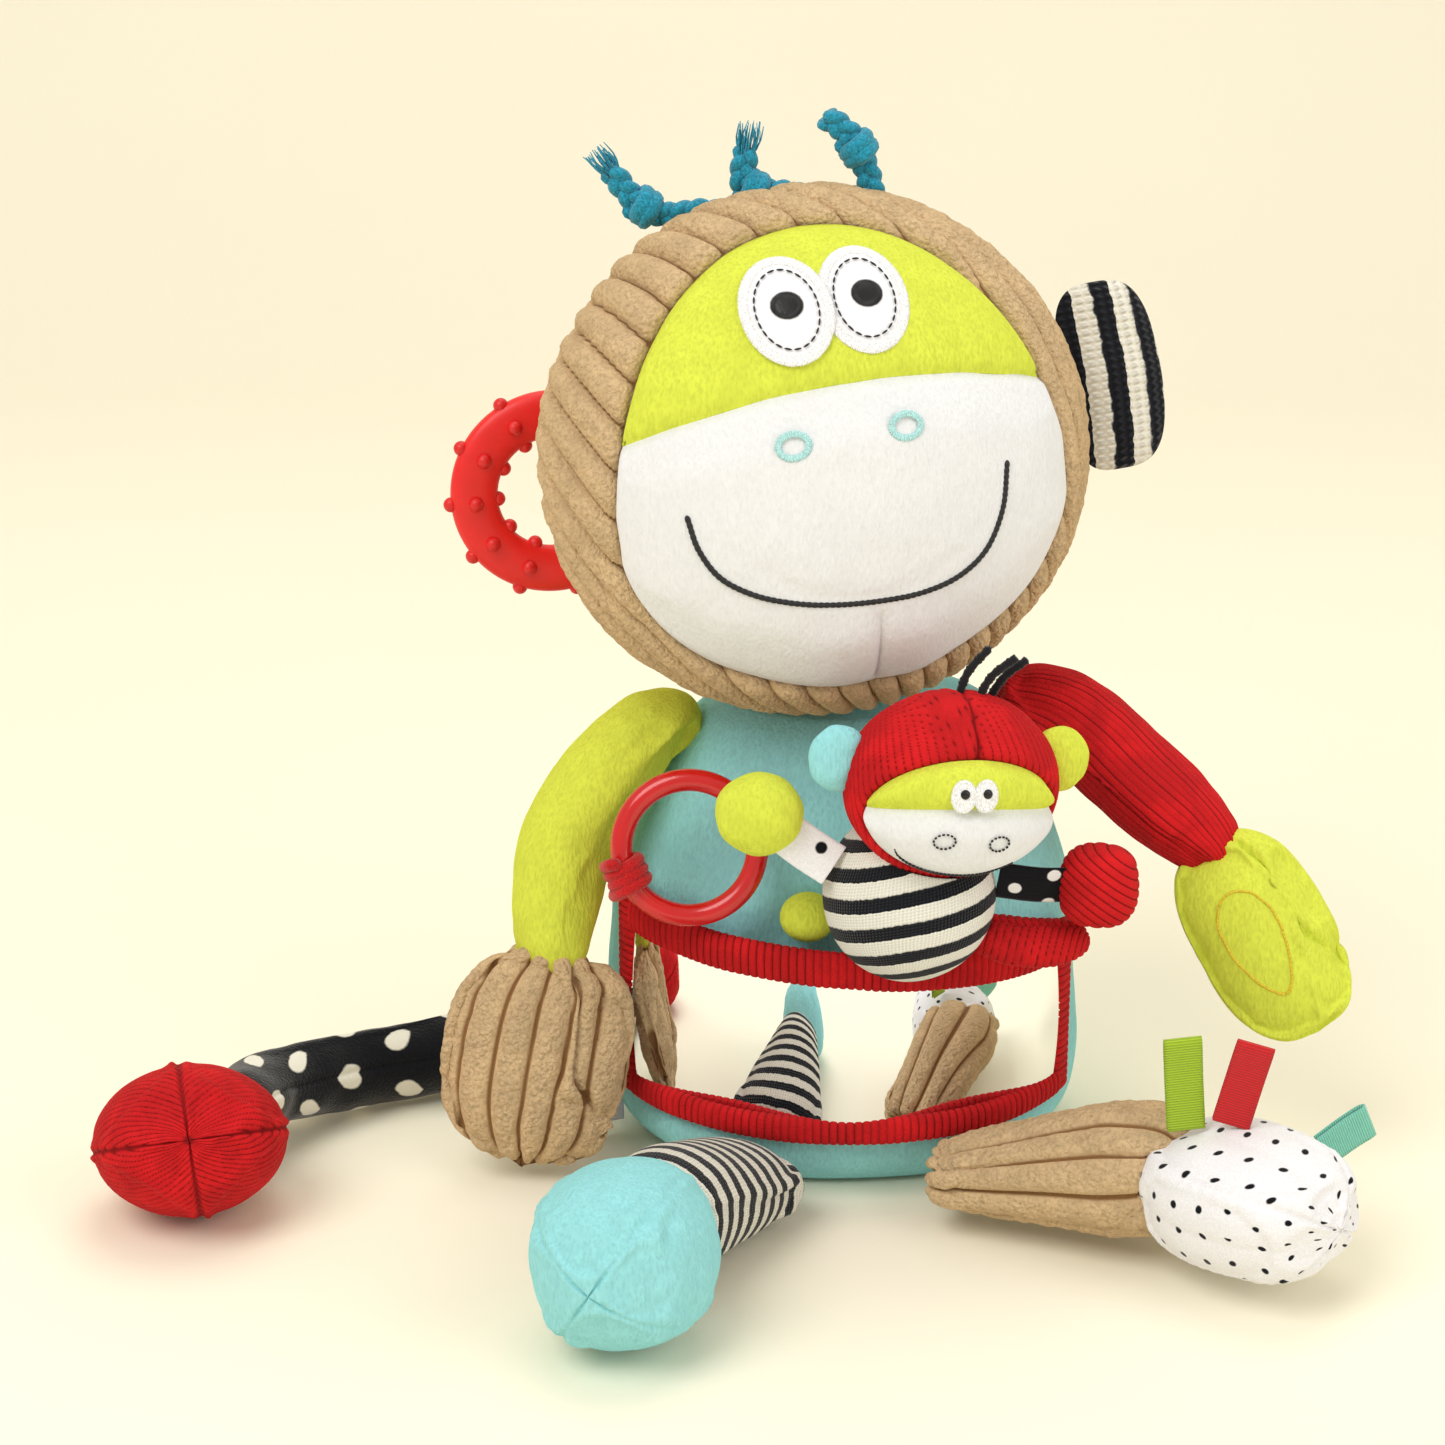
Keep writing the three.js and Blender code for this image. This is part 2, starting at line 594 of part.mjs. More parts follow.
function arms() {
  const rightTip = beside(-33, -58, 8);
  const leftTip = beside(84, -61, 61);
  arm('right', rightShoulder, beside(-17, -24, 118), rightWrist, {
    handTip: rightTip,
    handHalf: [36, 20],
    axis: rightAxis,
    angles: rightSwing,
    colours: [LIME, TAN],
  });
  arm('left', leftShoulder, beside(18, -24, 146), leftWrist, {
    handTip: leftTip,
    handHalf: [27, 19],
    axis: Y,
    angles: leftSwing,
    colours: [RED, LIME],
  });
  const palm = rightWrist.clone().lerp(rightTip, 0.55);
  add('squeaker', ellipsoid(palm, v(16, 9, 16), { around: 12, rings: 8 }), HARD_WHITE, { roughness: 0.4 });
}

// ---- legs ----
const rightHip = v(-42, -94, 17);
const leftHip = v(40, -92, 20);

function leg(side, hip, ankle, toe, { hipHalf, ankleHalf, footHalf, colours }) {
  const toAnkle = ankle.clone().sub(hip).normalize();
  const root = hip.clone().addScaledVector(toAnkle, -hipHalf[0] * 0.8);
  const past = ankle.clone().lerp(toe, 0.2);
  const legForm = (inset) =>
    stuffed(spline(root, hip, ankle, past), (u) => [
      THREE.MathUtils.lerp(hipHalf[0], ankleHalf[0], Math.min(1, u * 1.5)),
      THREE.MathUtils.lerp(hipHalf[1], ankleHalf[1], Math.min(1, u * 1.5)),
    ], { side: Z, inset, square: 4 });
  const toToe = toe.clone().sub(ankle).normalize();
  add(`${side}_leg_cover`, shell(legForm, halfSpace(ankle, toToe)), colours[0]);
  const stuffingEnd = ankle.clone().addScaledVector(toToe, -gap);
  const stuffing = legForm(cover + gap).subtract(halfSpace(stuffingEnd, toToe));
  add(`${side}_leg_filling`, stuffing, FIBRE);
  const heel = ankle.clone().addScaledVector(toToe, -5);
  const footForm = (inset) =>
    stuffed(spline(heel, heel.clone().lerp(toe, 0.5), toe), () => footHalf, { side: Z, inset, square: 2.3 });
  const cuff = halfSpace(ankle.clone().addScaledVector(toToe, gap), toToe.clone().negate());
  add(`${side}_foot`, shell(footForm, cuff), colours[1]);
  return footForm(-gap).add(legForm(-gap));
}

function legs() {
  const rightToe = v(-88, -216, 36);
  leg('right', rightHip, v(-68, -150, 31), rightToe, {
    hipHalf: [13, 27],
    ankleHalf: [legRadius, 24],
    footHalf: [footRadius, footRadius],
    colours: [BLACK, AQUA],
  });
  const leftToe = v(161, -164, 33);
  const leftSpace = leg('left', leftHip, v(111, -117, 32), leftToe, {
    hipHalf: [12, 18],
    ankleHalf: [legRadius + 2, 26],
    footHalf: [26, 35],
    colours: [TAN, PALE],
  });
  const rattle = ellipsoid(v(-79, -184, 34), v(13, 13, 13), { around: 14, rings: 8 });
  add('rattle_ball', rattle, HARD_WHITE, { roughness: 0.4 });
  return leftSpace;
}

// ---- ribbon loops on the left foot ----
const leafHalf = 2.1; // a folded loop is two layers with a little air between
const ribbonRoot = 5; // how far a ribbon runs down into its seam

// A folded ribbon loop is a flat leaf with a round top fold, cut where it enters the foot.
function ribbonLoop(name, foot, { lean, height, turn, colour, space }) {
  const leaf = new THREE.Shape();
  leaf.moveTo(-leafHalf, -ribbonRoot);
  leaf.lineTo(leafHalf, -ribbonRoot);
  leaf.lineTo(leafHalf, height - leafHalf);
  leaf.absarc(0, height - leafHalf, leafHalf, 0, Math.PI, false);
  leaf.closePath();
  const faceOn = new THREE.Matrix4().makeRotationZ(Math.PI / 2);
  const tilt = new THREE.Quaternion().setFromEuler(new THREE.Euler(0, rad(lean), rad(turn), 'ZXY'));
  const place = new THREE.Matrix4().compose(foot, tilt, v(1, 1, 1)).multiply(faceOn);
  const ribbon = toSolid(moved(toGeometry(prism(leaf, -ribbonWidth / 2, ribbonWidth / 2, 6)), place));
  add(name, ribbon.subtract(space), colour);
}

function ribbons(space) {
  const lime = { lean: -4, height: 30, turn: 6, colour: 0xaacd28 };
  const red = { lean: 14, height: 27, turn: -8, colour: 0xdc2323 };
  const mint = { lean: 66, height: 18, turn: 20, colour: 0x82d7c3 };
  ribbonLoop('lime_ribbon_loop', v(113, -128, 57.5), { ...lime, space });
  ribbonLoop('red_ribbon_loop', v(129, -131, 60.5), { ...red, space });
  ribbonLoop('mint_ribbon_loop', v(163, -128, 47), { ...mint, space });
}

// ---- tail ----
const tailRoot = v(-12, 92, 26);
const tailEnd = v(-221, -52, 27);

function tail() {
  const spine = spline(tailRoot, v(-70, 74, 18), v(-144, 22, 17), v(-188, 0, 18), v(-214, -28, 22), tailEnd,
    v(-225, -62, 28));
  const form = (inset) =>
    stuffed(spine, () => [tailRadius, tailRadius], { inset, square: 9, around: 10, rings: 13 });
  const tip = v(-250, -124, 32);
  const toTip = tip.clone().sub(tailEnd).normalize();
  add('dotted_tail', shell(form, halfSpace(tailEnd, toTip)), BLACK);
  const stuffing = form(cover + gap).subtract(halfSpace(tailEnd.clone().addScaledVector(toTip, -gap), toTip));
  add('tail_filling', stuffing, FIBRE);
  const heel = tailEnd.clone().addScaledVector(toTip, -5);
  const bulb = (inset) =>
    stuffed(spline(heel, heel.clone().lerp(tip, 0.5), tip), () => [30, bulbRadius], { inset, square: 2.2 });
  const cuff = halfSpace(tailEnd.clone().addScaledVector(toTip, gap), toTip.clone().negate());
  add('tail_bulb', shell(bulb, cuff), RED);
}

// ---- baby monkey ----
function baby() {
  const babyGroup = new THREE.Group();
  const half = v(babyHeadHalfWidth, babyHeadHalfDepth, babyHeadHalfHeight);
  const place = new THREE.Matrix4().compose(
    babyHeadCentre,
    new THREE.Quaternion().setFromEuler(babyHeadTurn),
    v(1, 1, 1),
  );
  babyGroup.applyMatrix4(place);
  group.add(babyGroup);
  const form = (inset) => ellipsoid(v(0, 0, 0), half.clone().subScalar(inset), { around: 18, rings: 10 });
  const skin = form(0).subtract(form(cover));
  const front = babyHeadHalfDepth + 10;
  const faceWide = babyHeadHalfWidth * 0.85;
  const rise = babyHeadHalfHeight * 0.55;
  const drop = babyHeadHalfHeight * 0.74;
  const middle = -7;
  const face = (shrink) => {
    const shape = new THREE.Shape();
    shape.absellipse(0, middle, faceWide - shrink, rise - shrink, 0, Math.PI, false);
    shape.absellipse(0, middle, faceWide - shrink, drop - shrink, Math.PI, 2 * Math.PI, false);
    return prism(shape, -front, -cover, 14);
  };
  const muzzleTop = -9;
  const below = (lower) => halfSpace(v(0, 0, muzzleTop - lower), v(0, 0, -1));
  add('baby_cap', skin.subtract(face(0)), RED, { parent: babyGroup });
  add('baby_forehead', skin.intersect(face(gap)).subtract(below(0)), LIME, { parent: babyGroup });
  add('baby_muzzle', skin.intersect(face(gap)).intersect(below(gap)), PALE, { parent: babyGroup });
  for (const [name, way, colour] of [['baby_right_ear', -1, AQUA], ['baby_left_ear', 1, LIME]]) {
    const ear = ellipsoid(v(way * (babyHeadHalfWidth + 2), 3, 8), v(babyEarRadius, 4.5, babyEarRadius + 1), {
      around: 12,
      rings: 8,
    });
    add(name, ear.subtract(form(-gap)), colour, { parent: babyGroup });
  }
  const headWorld = (grow) => toSolid(moved(toGeometry(form(-grow)), place));
  const cords = [
    [v(34, -100, 199), v(37, -100, 208), v(44, -101, 217)],
    [v(41, -100, 199), v(45, -101, 207), v(53, -102, 214)],
    [v(45, -96, 198), v(50, -97, 206), v(57, -98, 212)],
  ];
  cords.forEach((points, i) => {
    const cord = swept(spline(...points), roundSection(hairCordRadius), 6);
    add(`baby_hair_cord_${i + 1}`, cord.subtract(headWorld(gap)), BLACK);
  });
  babyBody(headWorld(swing));
}

function babyBody(headSpace) {
  const centre = babyBodyCentre;
  const half = v(babyBodyRadius, babyBodyHalfDepth, babyBodyHalfHeight);
  const form = (inset) => ellipsoid(centre, half.clone().subScalar(inset));
  let space = headSpace;
  for (const turn of [-20, 20]) {
    const swung = new THREE.Matrix4().makeTranslation(babyHeadCentre.x, babyHeadCentre.y, babyHeadCentre.z)
      .multiply(new THREE.Matrix4().makeRotationZ(rad(turn)))
      .multiply(new THREE.Matrix4().makeTranslation(-babyHeadCentre.x, -babyHeadCentre.y, -babyHeadCentre.z));
    space = space.add(toSolid(moved(toGeometry(headSpace), swung)));
  }
  add('baby_body', form(0).subtract(form(cover)).subtract(space), 0xe8e4d6);
  add('baby_filling', form(cover + gap).subtract(space), FIBRE);
  babyArm('right', v(-10, -106, 143), v(-33, -106, 160), PALE, LIME);
  babyArm('left', v(52, -100, 134), v(84, -98, 131), BLACK, RED);
  add('baby_right_foot', limeFoot(0), LIME);
  const redFoot = stuffed(spline(v(44, -92, 110), v(60, -93, 108), v(82, -90, 108)), () => [8, 9], {
    square: 2.6,
    around: 12,
    rings: 7,
  });
  const bodySpace = form(-gap);
  add('baby_left_foot', redFoot.subtract(bodySpace), RED);
}

// A baby arm is a flat ribbon with a stuffed hand on its end.
function babyArm(side, shoulder, hand, ribbonColour, handColour) {
  const toHand = hand.clone().sub(shoulder);
  const cuff = hand.clone().addScaledVector(toHand.clone().normalize(), -babyHandRadius * 0.8);
  const flat = new THREE.Shape([
    new THREE.Vector2(-1, -7),
    new THREE.Vector2(1, -7),
    new THREE.Vector2(1, 7),
    new THREE.Vector2(-1, 7),
  ]);
  const ribbonFrame = new THREE.Matrix4().makeBasis(
    v(0, 0, 0).crossVectors(toHand, Y).normalize(),
    Y,
    toHand.clone().normalize(),
  );
  const length = cuff.distanceTo(shoulder);
  const strip = new THREE.ExtrudeGeometry(flat, { depth: length, bevelEnabled: false });
  strip.rotateZ(Math.PI / 2);
  strip.applyMatrix4(ribbonFrame);
  strip.translate(shoulder.x, shoulder.y, shoulder.z);
  const half = v(babyHandRadius, babyHandHalfDepth, babyHandRadius);
  const round = { around: 12, rings: 8 };
  const form = ellipsoid(hand, half, round);
  const space = ellipsoid(hand, half.clone().addScalar(gap), round);
  add(`baby_${side}_arm`, outward(toSolid(strip)).subtract(space), ribbonColour);
  add(`baby_${side}_hand`, form, handColour);
}

// ---- care label in the right side seam ----
function careLabel() {
  const label = new THREE.BoxGeometry(22, 0.8, 14);
  const place = new THREE.Matrix4().compose(v(-93, -20, 12), new THREE.Quaternion().setFromEuler(
    new THREE.Euler(0, 0, rad(20)),
  ), v(1, 1, 1));
  const space = torsoForm(-gap);
  add('care_label', toSolid(moved(label, place)).subtract(space), 0xe8e4f2);
}

headPieces();
stripedEar();
teether();
hair();
torso();
pouch();
grabRing();
arms();
ribbons(legs());
tail();
baby();
careLabel();

export default group;
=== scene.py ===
# %% [markdown]
# # A seated plush activity monkey
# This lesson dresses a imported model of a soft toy: a monkey sewn from many fabrics, with a mirror
# pouch on its belly and a small monkey inside it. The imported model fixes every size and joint. Here
# each sewn piece gets its real surface: ribs, pile, seams, stitches and folds.

# %% Load the frame
import json
import math

import bpy
import bmesh
import numpy as np
from mathutils import Euler, Matrix, Vector

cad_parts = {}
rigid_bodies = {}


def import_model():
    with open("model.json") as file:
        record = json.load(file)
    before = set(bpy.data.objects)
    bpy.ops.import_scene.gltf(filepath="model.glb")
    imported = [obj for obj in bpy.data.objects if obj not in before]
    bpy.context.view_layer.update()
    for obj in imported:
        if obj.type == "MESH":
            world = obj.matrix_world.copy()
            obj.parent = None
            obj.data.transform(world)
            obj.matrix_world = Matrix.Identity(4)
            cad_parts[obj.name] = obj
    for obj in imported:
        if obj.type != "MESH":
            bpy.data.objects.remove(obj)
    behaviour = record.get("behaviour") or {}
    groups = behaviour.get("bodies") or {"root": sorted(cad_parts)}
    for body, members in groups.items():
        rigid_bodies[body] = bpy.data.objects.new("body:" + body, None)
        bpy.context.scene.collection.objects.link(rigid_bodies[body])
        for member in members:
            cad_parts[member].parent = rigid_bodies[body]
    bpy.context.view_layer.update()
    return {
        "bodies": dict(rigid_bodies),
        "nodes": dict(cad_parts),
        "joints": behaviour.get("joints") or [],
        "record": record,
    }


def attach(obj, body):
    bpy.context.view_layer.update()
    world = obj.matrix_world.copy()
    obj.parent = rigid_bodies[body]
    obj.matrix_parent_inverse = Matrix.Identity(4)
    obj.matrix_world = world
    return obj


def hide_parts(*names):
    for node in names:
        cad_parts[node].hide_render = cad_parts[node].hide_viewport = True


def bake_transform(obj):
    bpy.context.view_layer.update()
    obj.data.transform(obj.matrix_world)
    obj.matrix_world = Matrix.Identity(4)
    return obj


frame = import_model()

# %% [markdown]
# ## Camera, floor and light
# The toy is looked at a little from above with a long lens, as in a catalogue picture. The floor and
# the wall behind it are one pale cream sweep, so no horizon shows, and large soft lamps stand for
# studio boxes. The mirror pouch needs something to reflect, and the same sweep gives it.

# %% Camera
MM = 0.001
AIM = Vector((-45.3, 0, 158)) * MM
VIEW_DISTANCE = 1.19
VIEW_DOWN = math.radians(18)


def aim(thing, target):
    """Turn a camera or lamp so that it looks at a point."""
    thing.rotation_euler = (target - thing.location).to_track_quat("-Z", "Y").to_euler()


def link(thing):
    bpy.context.scene.collection.objects.link(thing)
    return thing


camera = link(bpy.data.objects.new("camera", bpy.data.cameras.new("camera")))
camera.data.lens = 80.1
camera.data.sensor_width = 36
camera.location = AIM + Vector((0, -math.cos(VIEW_DOWN), math.sin(VIEW_DOWN))) * VIEW_DISTANCE
aim(camera, AIM)
bpy.context.scene.camera = camera
bpy.context.scene.view_settings.view_transform = "Standard"
print("camera at", [round(c, 3) for c in camera.location])

# %% [markdown]
# ## A small language for finishes
# A material is a tree of nodes. Writing it as plain arithmetic is easier to read, so `Wire` wraps one
# socket and turns `+`, `-` and `*` into Math nodes, and `Finish` makes any other node.

# %% Wires and finishes
class Wire:
    """One output of a node, for use in ordinary arithmetic."""

    def __init__(self, finish, socket):
        self.finish = finish
        self.socket = socket

    def also(self, name):
        """Another output of the same node."""
        return Wire(self.finish, self.socket.node.outputs[name])

    def __add__(self, other):
        return self.finish.math("ADD", self, other)

    def __sub__(self, other):
        return self.finish.math("SUBTRACT", self, other)

    def __rsub__(self, other):
        return self.finish.math("SUBTRACT", other, self)

    def __mul__(self, other):
        return self.finish.math("MULTIPLY", self, other)

    __radd__ = __add__
    __rmul__ = __mul__

    def part(self):
        """What is left after the whole number, 0 to 1."""
        return self.finish.math("FRACT", self)

    def step(self, low, high):
        """0 under low, 1 over high, smooth between."""
        ramp = {"interpolation_type": "SMOOTHSTEP"}
        return self.finish.node("ShaderNodeMapRange", ramp, {0: self, 1: low, 2: high})


class Finish:
    """A material with one Principled shader, whose fixed numbers are set on its own sockets."""

    def __init__(self, name, **fixed):
        self.material = bpy.data.materials.new(name)
        self.material.use_nodes = True
        self.tree = self.material.node_tree
        self.shader = self.tree.nodes["Principled BSDF"]
        for socket, value in fixed.items():
            self.shader.inputs[socket.replace("_", " ")].default_value = value

    def node(self, kind, settings=None, inputs=None, output=0):
        made = self.tree.nodes.new(kind)
        for key, value in (settings or {}).items():
            setattr(made, key, value)
        for key, value in (inputs or {}).items():
            if isinstance(value, Wire):
                self.tree.links.new(value.socket, made.inputs[key])
            else:
                made.inputs[key].default_value = value
        return Wire(self, made.outputs[output])

    def math(self, operation, *values):
        return self.node("ShaderNodeMath", {"operation": operation}, dict(enumerate(values)))

    def mix(self, factor, first, second):
        """A colour between two colours."""
        return self.node("ShaderNodeMix", {"data_type": "RGBA"}, {0: factor, 6: first, 7: second}, 2)

    def place(self):
        return self.node("ShaderNodeTexCoord", output="Object")

    def cloth(self):
        """The piece's own cloth coordinates in metres, as two wires."""
        split = self.node("ShaderNodeSeparateXYZ", inputs={0: self.node("ShaderNodeUVMap")})
        return split, split.also("Y")

    def attribute(self, name):
        return self.node("ShaderNodeAttribute", {"attribute_name": name}, output="Fac")

    def noise(self, scale, detail=2.0, where=None, spread=0.0):
        inputs = {"Vector": where or self.place(), "Scale": scale, "Detail": detail, "Distortion": spread}
        return self.node("ShaderNodeTexNoise", inputs=inputs)

    def cells(self, scale):
        return self.node("ShaderNodeTexVoronoi", inputs={"Vector": self.place(), "Scale": scale})

    def stretched(self, amounts):
        """Object coordinates scaled differently along X, Y and Z."""
        return self.node("ShaderNodeMapping", inputs={"Vector": self.place(), "Scale": amounts})

    def bump(self, height, distance, strength=1.0, under=None):
        inputs = {"Height": height, "Distance": distance, "Strength": strength}
        if under:
            inputs["Normal"] = under
        return self.node("ShaderNodeBump", inputs=inputs)

    def use(self, **wires):
        """Connect wires to the shader's sockets."""
        for socket, wire in wires.items():
            self.tree.links.new(wire.socket, self.shader.inputs[socket.replace("_", " ")])
        return self.material


def paint(red, green, blue):
    """A colour given as seen on a screen, 0 to 255, as the linear colour that shaders use."""
    seen = [c / 255 for c in (red, green, blue)]
    return (*[c / 12.92 if c <= 0.04045 else ((c + 0.055) / 1.055) ** 2.4 for c in seen], 1.0)


def shade(colour, factor):
    return (*[min(1.0, c * factor) for c in colour[:3]], 1.0)


print("finish tools ready")

# %% Floor, wall and lamps
def sweep_floor():
    """A floor that curves up into a wall well behind the toy."""
    half, front, back, bend = 4.0, -3.0, 2.2, 0.9
    steps = [(front, 0.0), (back - bend, 0.0)]
    steps += [(back - bend + bend * math.sin(a), bend - bend * math.cos(a))
              for a in np.linspace(0.1, math.pi / 2, 14)]
    steps += [(back, 4.5)]
    corners = [(x, y, z) for y, z in steps for x in (-half, half)]
    faces = [(2 * i, 2 * i + 1, 2 * i + 3, 2 * i + 2) for i in range(len(steps) - 1)]
    mesh = bpy.data.meshes.new("sweep")
    mesh.from_pydata(corners, [], faces)
    for face in mesh.polygons:
        face.use_smooth = True
    paper = Finish("cream_paper", Roughness=0.9, Specular_IOR_Level=0.1)
    tone = paper.mix(paper.noise(3.0), paint(248, 242, 221), paint(249, 244, 224))
    mesh.materials.append(paper.use(Base_Color=tone))
    floor = link(bpy.data.objects.new("floor_sweep", mesh))


def lamp(name, place, size, watts, colour=(1, 1, 1)):
    light = bpy.data.lights.new(name, "AREA")
    light.shape = "DISK"
    light.size = size
    light.energy = watts
    light.color = colour
    holder = link(bpy.data.objects.new(name, light))
    holder.location = place
    aim(holder, Vector((-0.03, 0, 0.15)))


sweep_floor()
lamp("key_softbox", (-1.1, -1.3, 2.0), 1.6, 29, (1, 0.985, 0.96))
lamp("fill_softbox", (1.6, -1.2, 1.1), 1.8, 13, (0.97, 0.98, 1))
lamp("top_softbox", (0.1, 0.5, 2.2), 1.6, 11)
world = bpy.data.worlds.new("room")
bpy.context.scene.world = world
world.use_nodes = True
world.node_tree.nodes["Background"].inputs[0].default_value = (1, 0.955, 0.88, 1)
world.node_tree.nodes["Background"].inputs[1].default_value = 0.64

# %% [markdown]
# ## Fabrics
# Each fabric is one function that returns a finished material. Cloth coordinates are in metres, so
# a stripe or a rib has its true width on every piece. Pile fabrics use sheen, which brightens the
# edges as short fibres do, and fine bump for the fibres themselves.

# %% Short plush
def plush(name, colour, nap=0.08, fibre=1.0):
    """Soft short pile: mottled where the nap lies over, with fine fibres."""
    cloth = Finish(name, Roughness=0.95, Specular_IOR_Level=0.15, Sheen_Weight=0.35, Sheen_Roughness=0.45)
    cloth.shader.inputs["Sheen Tint"].default_value = shade(colour, 1.3)
    lay = cloth.noise(55.0, 3.0, spread=1.2)
    brushed = cloth.noise(170.0, 2.0, cloth.stretched((1.0, 1.0, 0.45)), 0.8)
    tips = cloth.noise(900.0, 2.0, cloth.stretched((1.0, 1.0, 0.35)))
    mottle = (lay * 0.5 + brushed * 0.5).step(0.3, 0.7)
    body = cloth.mix(mottle, shade(colour, 1 - nap), shade(colour, 1 + nap * 0.6))
    tone = cloth.mix(tips.step(0.25, 0.65), shade(colour, 1 - nap * 2), body)
    under = cloth.bump(brushed, 0.0014 * fibre, 0.4)
    return cloth.use(Base_Color=tone, Normal=cloth.bump(tips, 0.0008 * fibre, 0.7, under))


# %% Chunky ribbed chenille
def chenille(name, colour, valley):
    """Thick cords of looped pile with a flat woven valley between them; valleys and gaps between loops get
    painted shade.
    """
    cloth = Finish(name, Roughness=0.97, Specular_IOR_Level=0.1, Sheen_Weight=0.3, Sheen_Roughness=0.5)
    cloth.shader.inputs["Sheen Tint"].default_value = shade(colour, 1.4)
    rib = cloth.attribute("rib")
    loops = cloth.noise(520.0, 3.0, spread=0.8)
    fuzz = cloth.noise(1500.0, 2.0)
    mottle = cloth.noise(90.0, 3.0)
    lit = cloth.mix(mottle.step(0.3, 0.7), shade(colour, 0.9), shade(colour, 1.08))
    # Painted shade: the pile is darkened in the crevices between its loops.
    cords = cloth.mix(loops.step(0.25, 0.6), shade(colour, 0.76), lit)
    # Painted shade: the grooves between the cords take the dark valley colour.
    tone = cloth.mix(rib.step(0.04, 0.42), valley, cords)
    height = (loops * 0.6 + (1 - cloth.cells(560.0)) * 0.7) * rib + fuzz * 0.3
    return cloth.use(Base_Color=tone, Normal=cloth.bump(height, 0.0024, 0.9))


# %% Fine corduroy
def corduroy(name, colour):
    """Narrow wales: the pile catches light on top and the valleys stay dark."""
    cloth = Finish(name, Roughness=0.85, Specular_IOR_Level=0.2, Sheen_Weight=0.12, Sheen_Roughness=0.35)
    cloth.shader.inputs["Sheen Tint"].default_value = shade(colour, 1.8)
    rib = cloth.attribute("rib")
    pile = cloth.noise(1100.0, 2.0)
    patch = cloth.noise(70.0, 3.0, spread=0.6)
    lit = cloth.mix(patch.step(0.35, 0.7), shade(colour, 0.85), shade(colour, 1.12))
    # Painted shade: the valleys between the wales take a much darker copy of the colour.
    tone = cloth.mix(rib.step(0.05, 0.7), shade(colour, 0.38), lit)
    return cloth.use(Base_Color=tone, Normal=cloth.bump(pile + rib * 0.6, 0.0006, 0.8))


# %% Striped knit
def striped_knit(name, light, dark, pitch, light_share=0.5, wave=0.0015, across=False, coarse=1.0):
    """Jersey stripes with slightly ragged edges and a fine vertical rib in the stitches."""
    cloth = Finish(name, Roughness=0.92, Specular_IOR_Level=0.15, Sheen_Weight=0.15)
    u, v = cloth.cloth()
    along, side = (u, v) if across else (v, u)
    ragged = cloth.noise(650.0 / coarse, 2.0) - 0.5
    drift = cloth.noise(30.0, 2.0) - 0.5
    band = ((along + ragged * 0.0012 * coarse + drift * wave) * (1 / pitch)).part()
    stripe = band.step(light_share - 0.03, light_share + 0.03)
    columns = cloth.math("SINE", side * (2 * math.pi / (0.0011 * coarse)))
    rows = cloth.math("SINE", along * (2 * math.pi / (0.0014 * coarse)) + columns * 1.2)
    yarn = columns * 0.5 + rows * 0.35
    pale = cloth.mix(yarn.step(-0.7, 0.4), shade(light, 0.84), light)
    inky = cloth.mix(yarn.step(-0.2, 0.8), dark, shade(dark, 2.6))
    tone = cloth.mix(stripe, pale, inky)
    return cloth.use(Base_Color=tone, Normal=cloth.bump(yarn + stripe * 0.5, 0.0004 * coarse, 0.8))


# %% Dotted cloth
def dotted(name, ground, dot, spacing, radius, pile, jitter=0.25):
    """Round printed dots in staggered rows, a little uneven as printed cloth is."""
    cloth = Finish(name, Roughness=0.9, Specular_IOR_Level=0.15, Sheen_Weight=0.2 + pile, Sheen_Roughness=0.4)
    u, v = cloth.cloth()
    row = cloth.math("FLOOR", v * (1 / spacing))
    shift = cloth.math("MODULO", row, 2.0) * 0.5
    wander = cloth.node("ShaderNodeTexWhiteNoise", {"noise_dimensions": "1D"}, {"W": row})
    du = ((u * (1 / spacing)) + shift + wander * jitter).part() - 0.5
    dv = (v * (1 / spacing)).part() - 0.5
    edge = cloth.noise(900.0, 1.0) * 0.02
    away = cloth.math("SQRT", du * du + dv * dv) + edge
    spot = away.step(radius / spacing + 0.05, radius / spacing)
    grain = cloth.noise(1000.0 if pile else 1500.0, 2.0)
    base = cloth.mix(grain.step(0.3, 0.75), shade(ground, 0.75 if pile else 0.93),
                     shade(ground, 1.15 if pile else 1.04))
    tone = cloth.mix(spot, base, dot)
    return cloth.use(Base_Color=tone, Normal=cloth.bump(grain, 0.0006 if pile else 0.0003, 0.7))


# %% Ribbon, thread, plastic and mirror
def grosgrain(name, colour):
    """Ribbon with fine ribs across it."""
    tape = Finish(name, Roughness=0.6, Specular_IOR_Level=0.35, Sheen_Weight=0.1)
    _, v = tape.cloth()
    ribs = tape.math("SINE", v * (2 * math.pi / 0.0009))
    tone = tape.mix(ribs.step(-0.9, 0.6), shade(colour, 0.72), colour)
    return tape.use(Base_Color=tone, Normal=tape.bump(ribs, 0.00025, 0.8))


def thread(name, colour, gloss=0.45):
    """Stitching yarn: short twisted strands with a soft shine."""
    yarn = Finish(name, Roughness=gloss, Specular_IOR_Level=0.4, Sheen_Weight=0.1)
    twist = yarn.noise(2600.0, 2.0, yarn.stretched((1.0, 1.0, 0.5)))
    tone = yarn.mix(twist.step(0.3, 0.7), shade(colour, 0.7), shade(colour, 1.1))
    return yarn.use(Base_Color=tone, Normal=yarn.bump(twist, 0.0002, 0.6))


def braid(name, colour, coarse=1.0):
    """Cotton rope: matte yarn with fine fibres running along each strand."""
    yarn = Finish(name, Roughness=0.8, Specular_IOR_Level=0.2, Sheen_Weight=0.25)
    strand = yarn.noise(1300.0 / coarse, 3.0, spread=0.5)
    tone = yarn.mix(strand.step(0.3, 0.75), shade(colour, 0.55), shade(colour, 1.2))
    return yarn.use(Base_Color=tone, Normal=yarn.bump(strand, 0.0006 * coarse, 0.8))


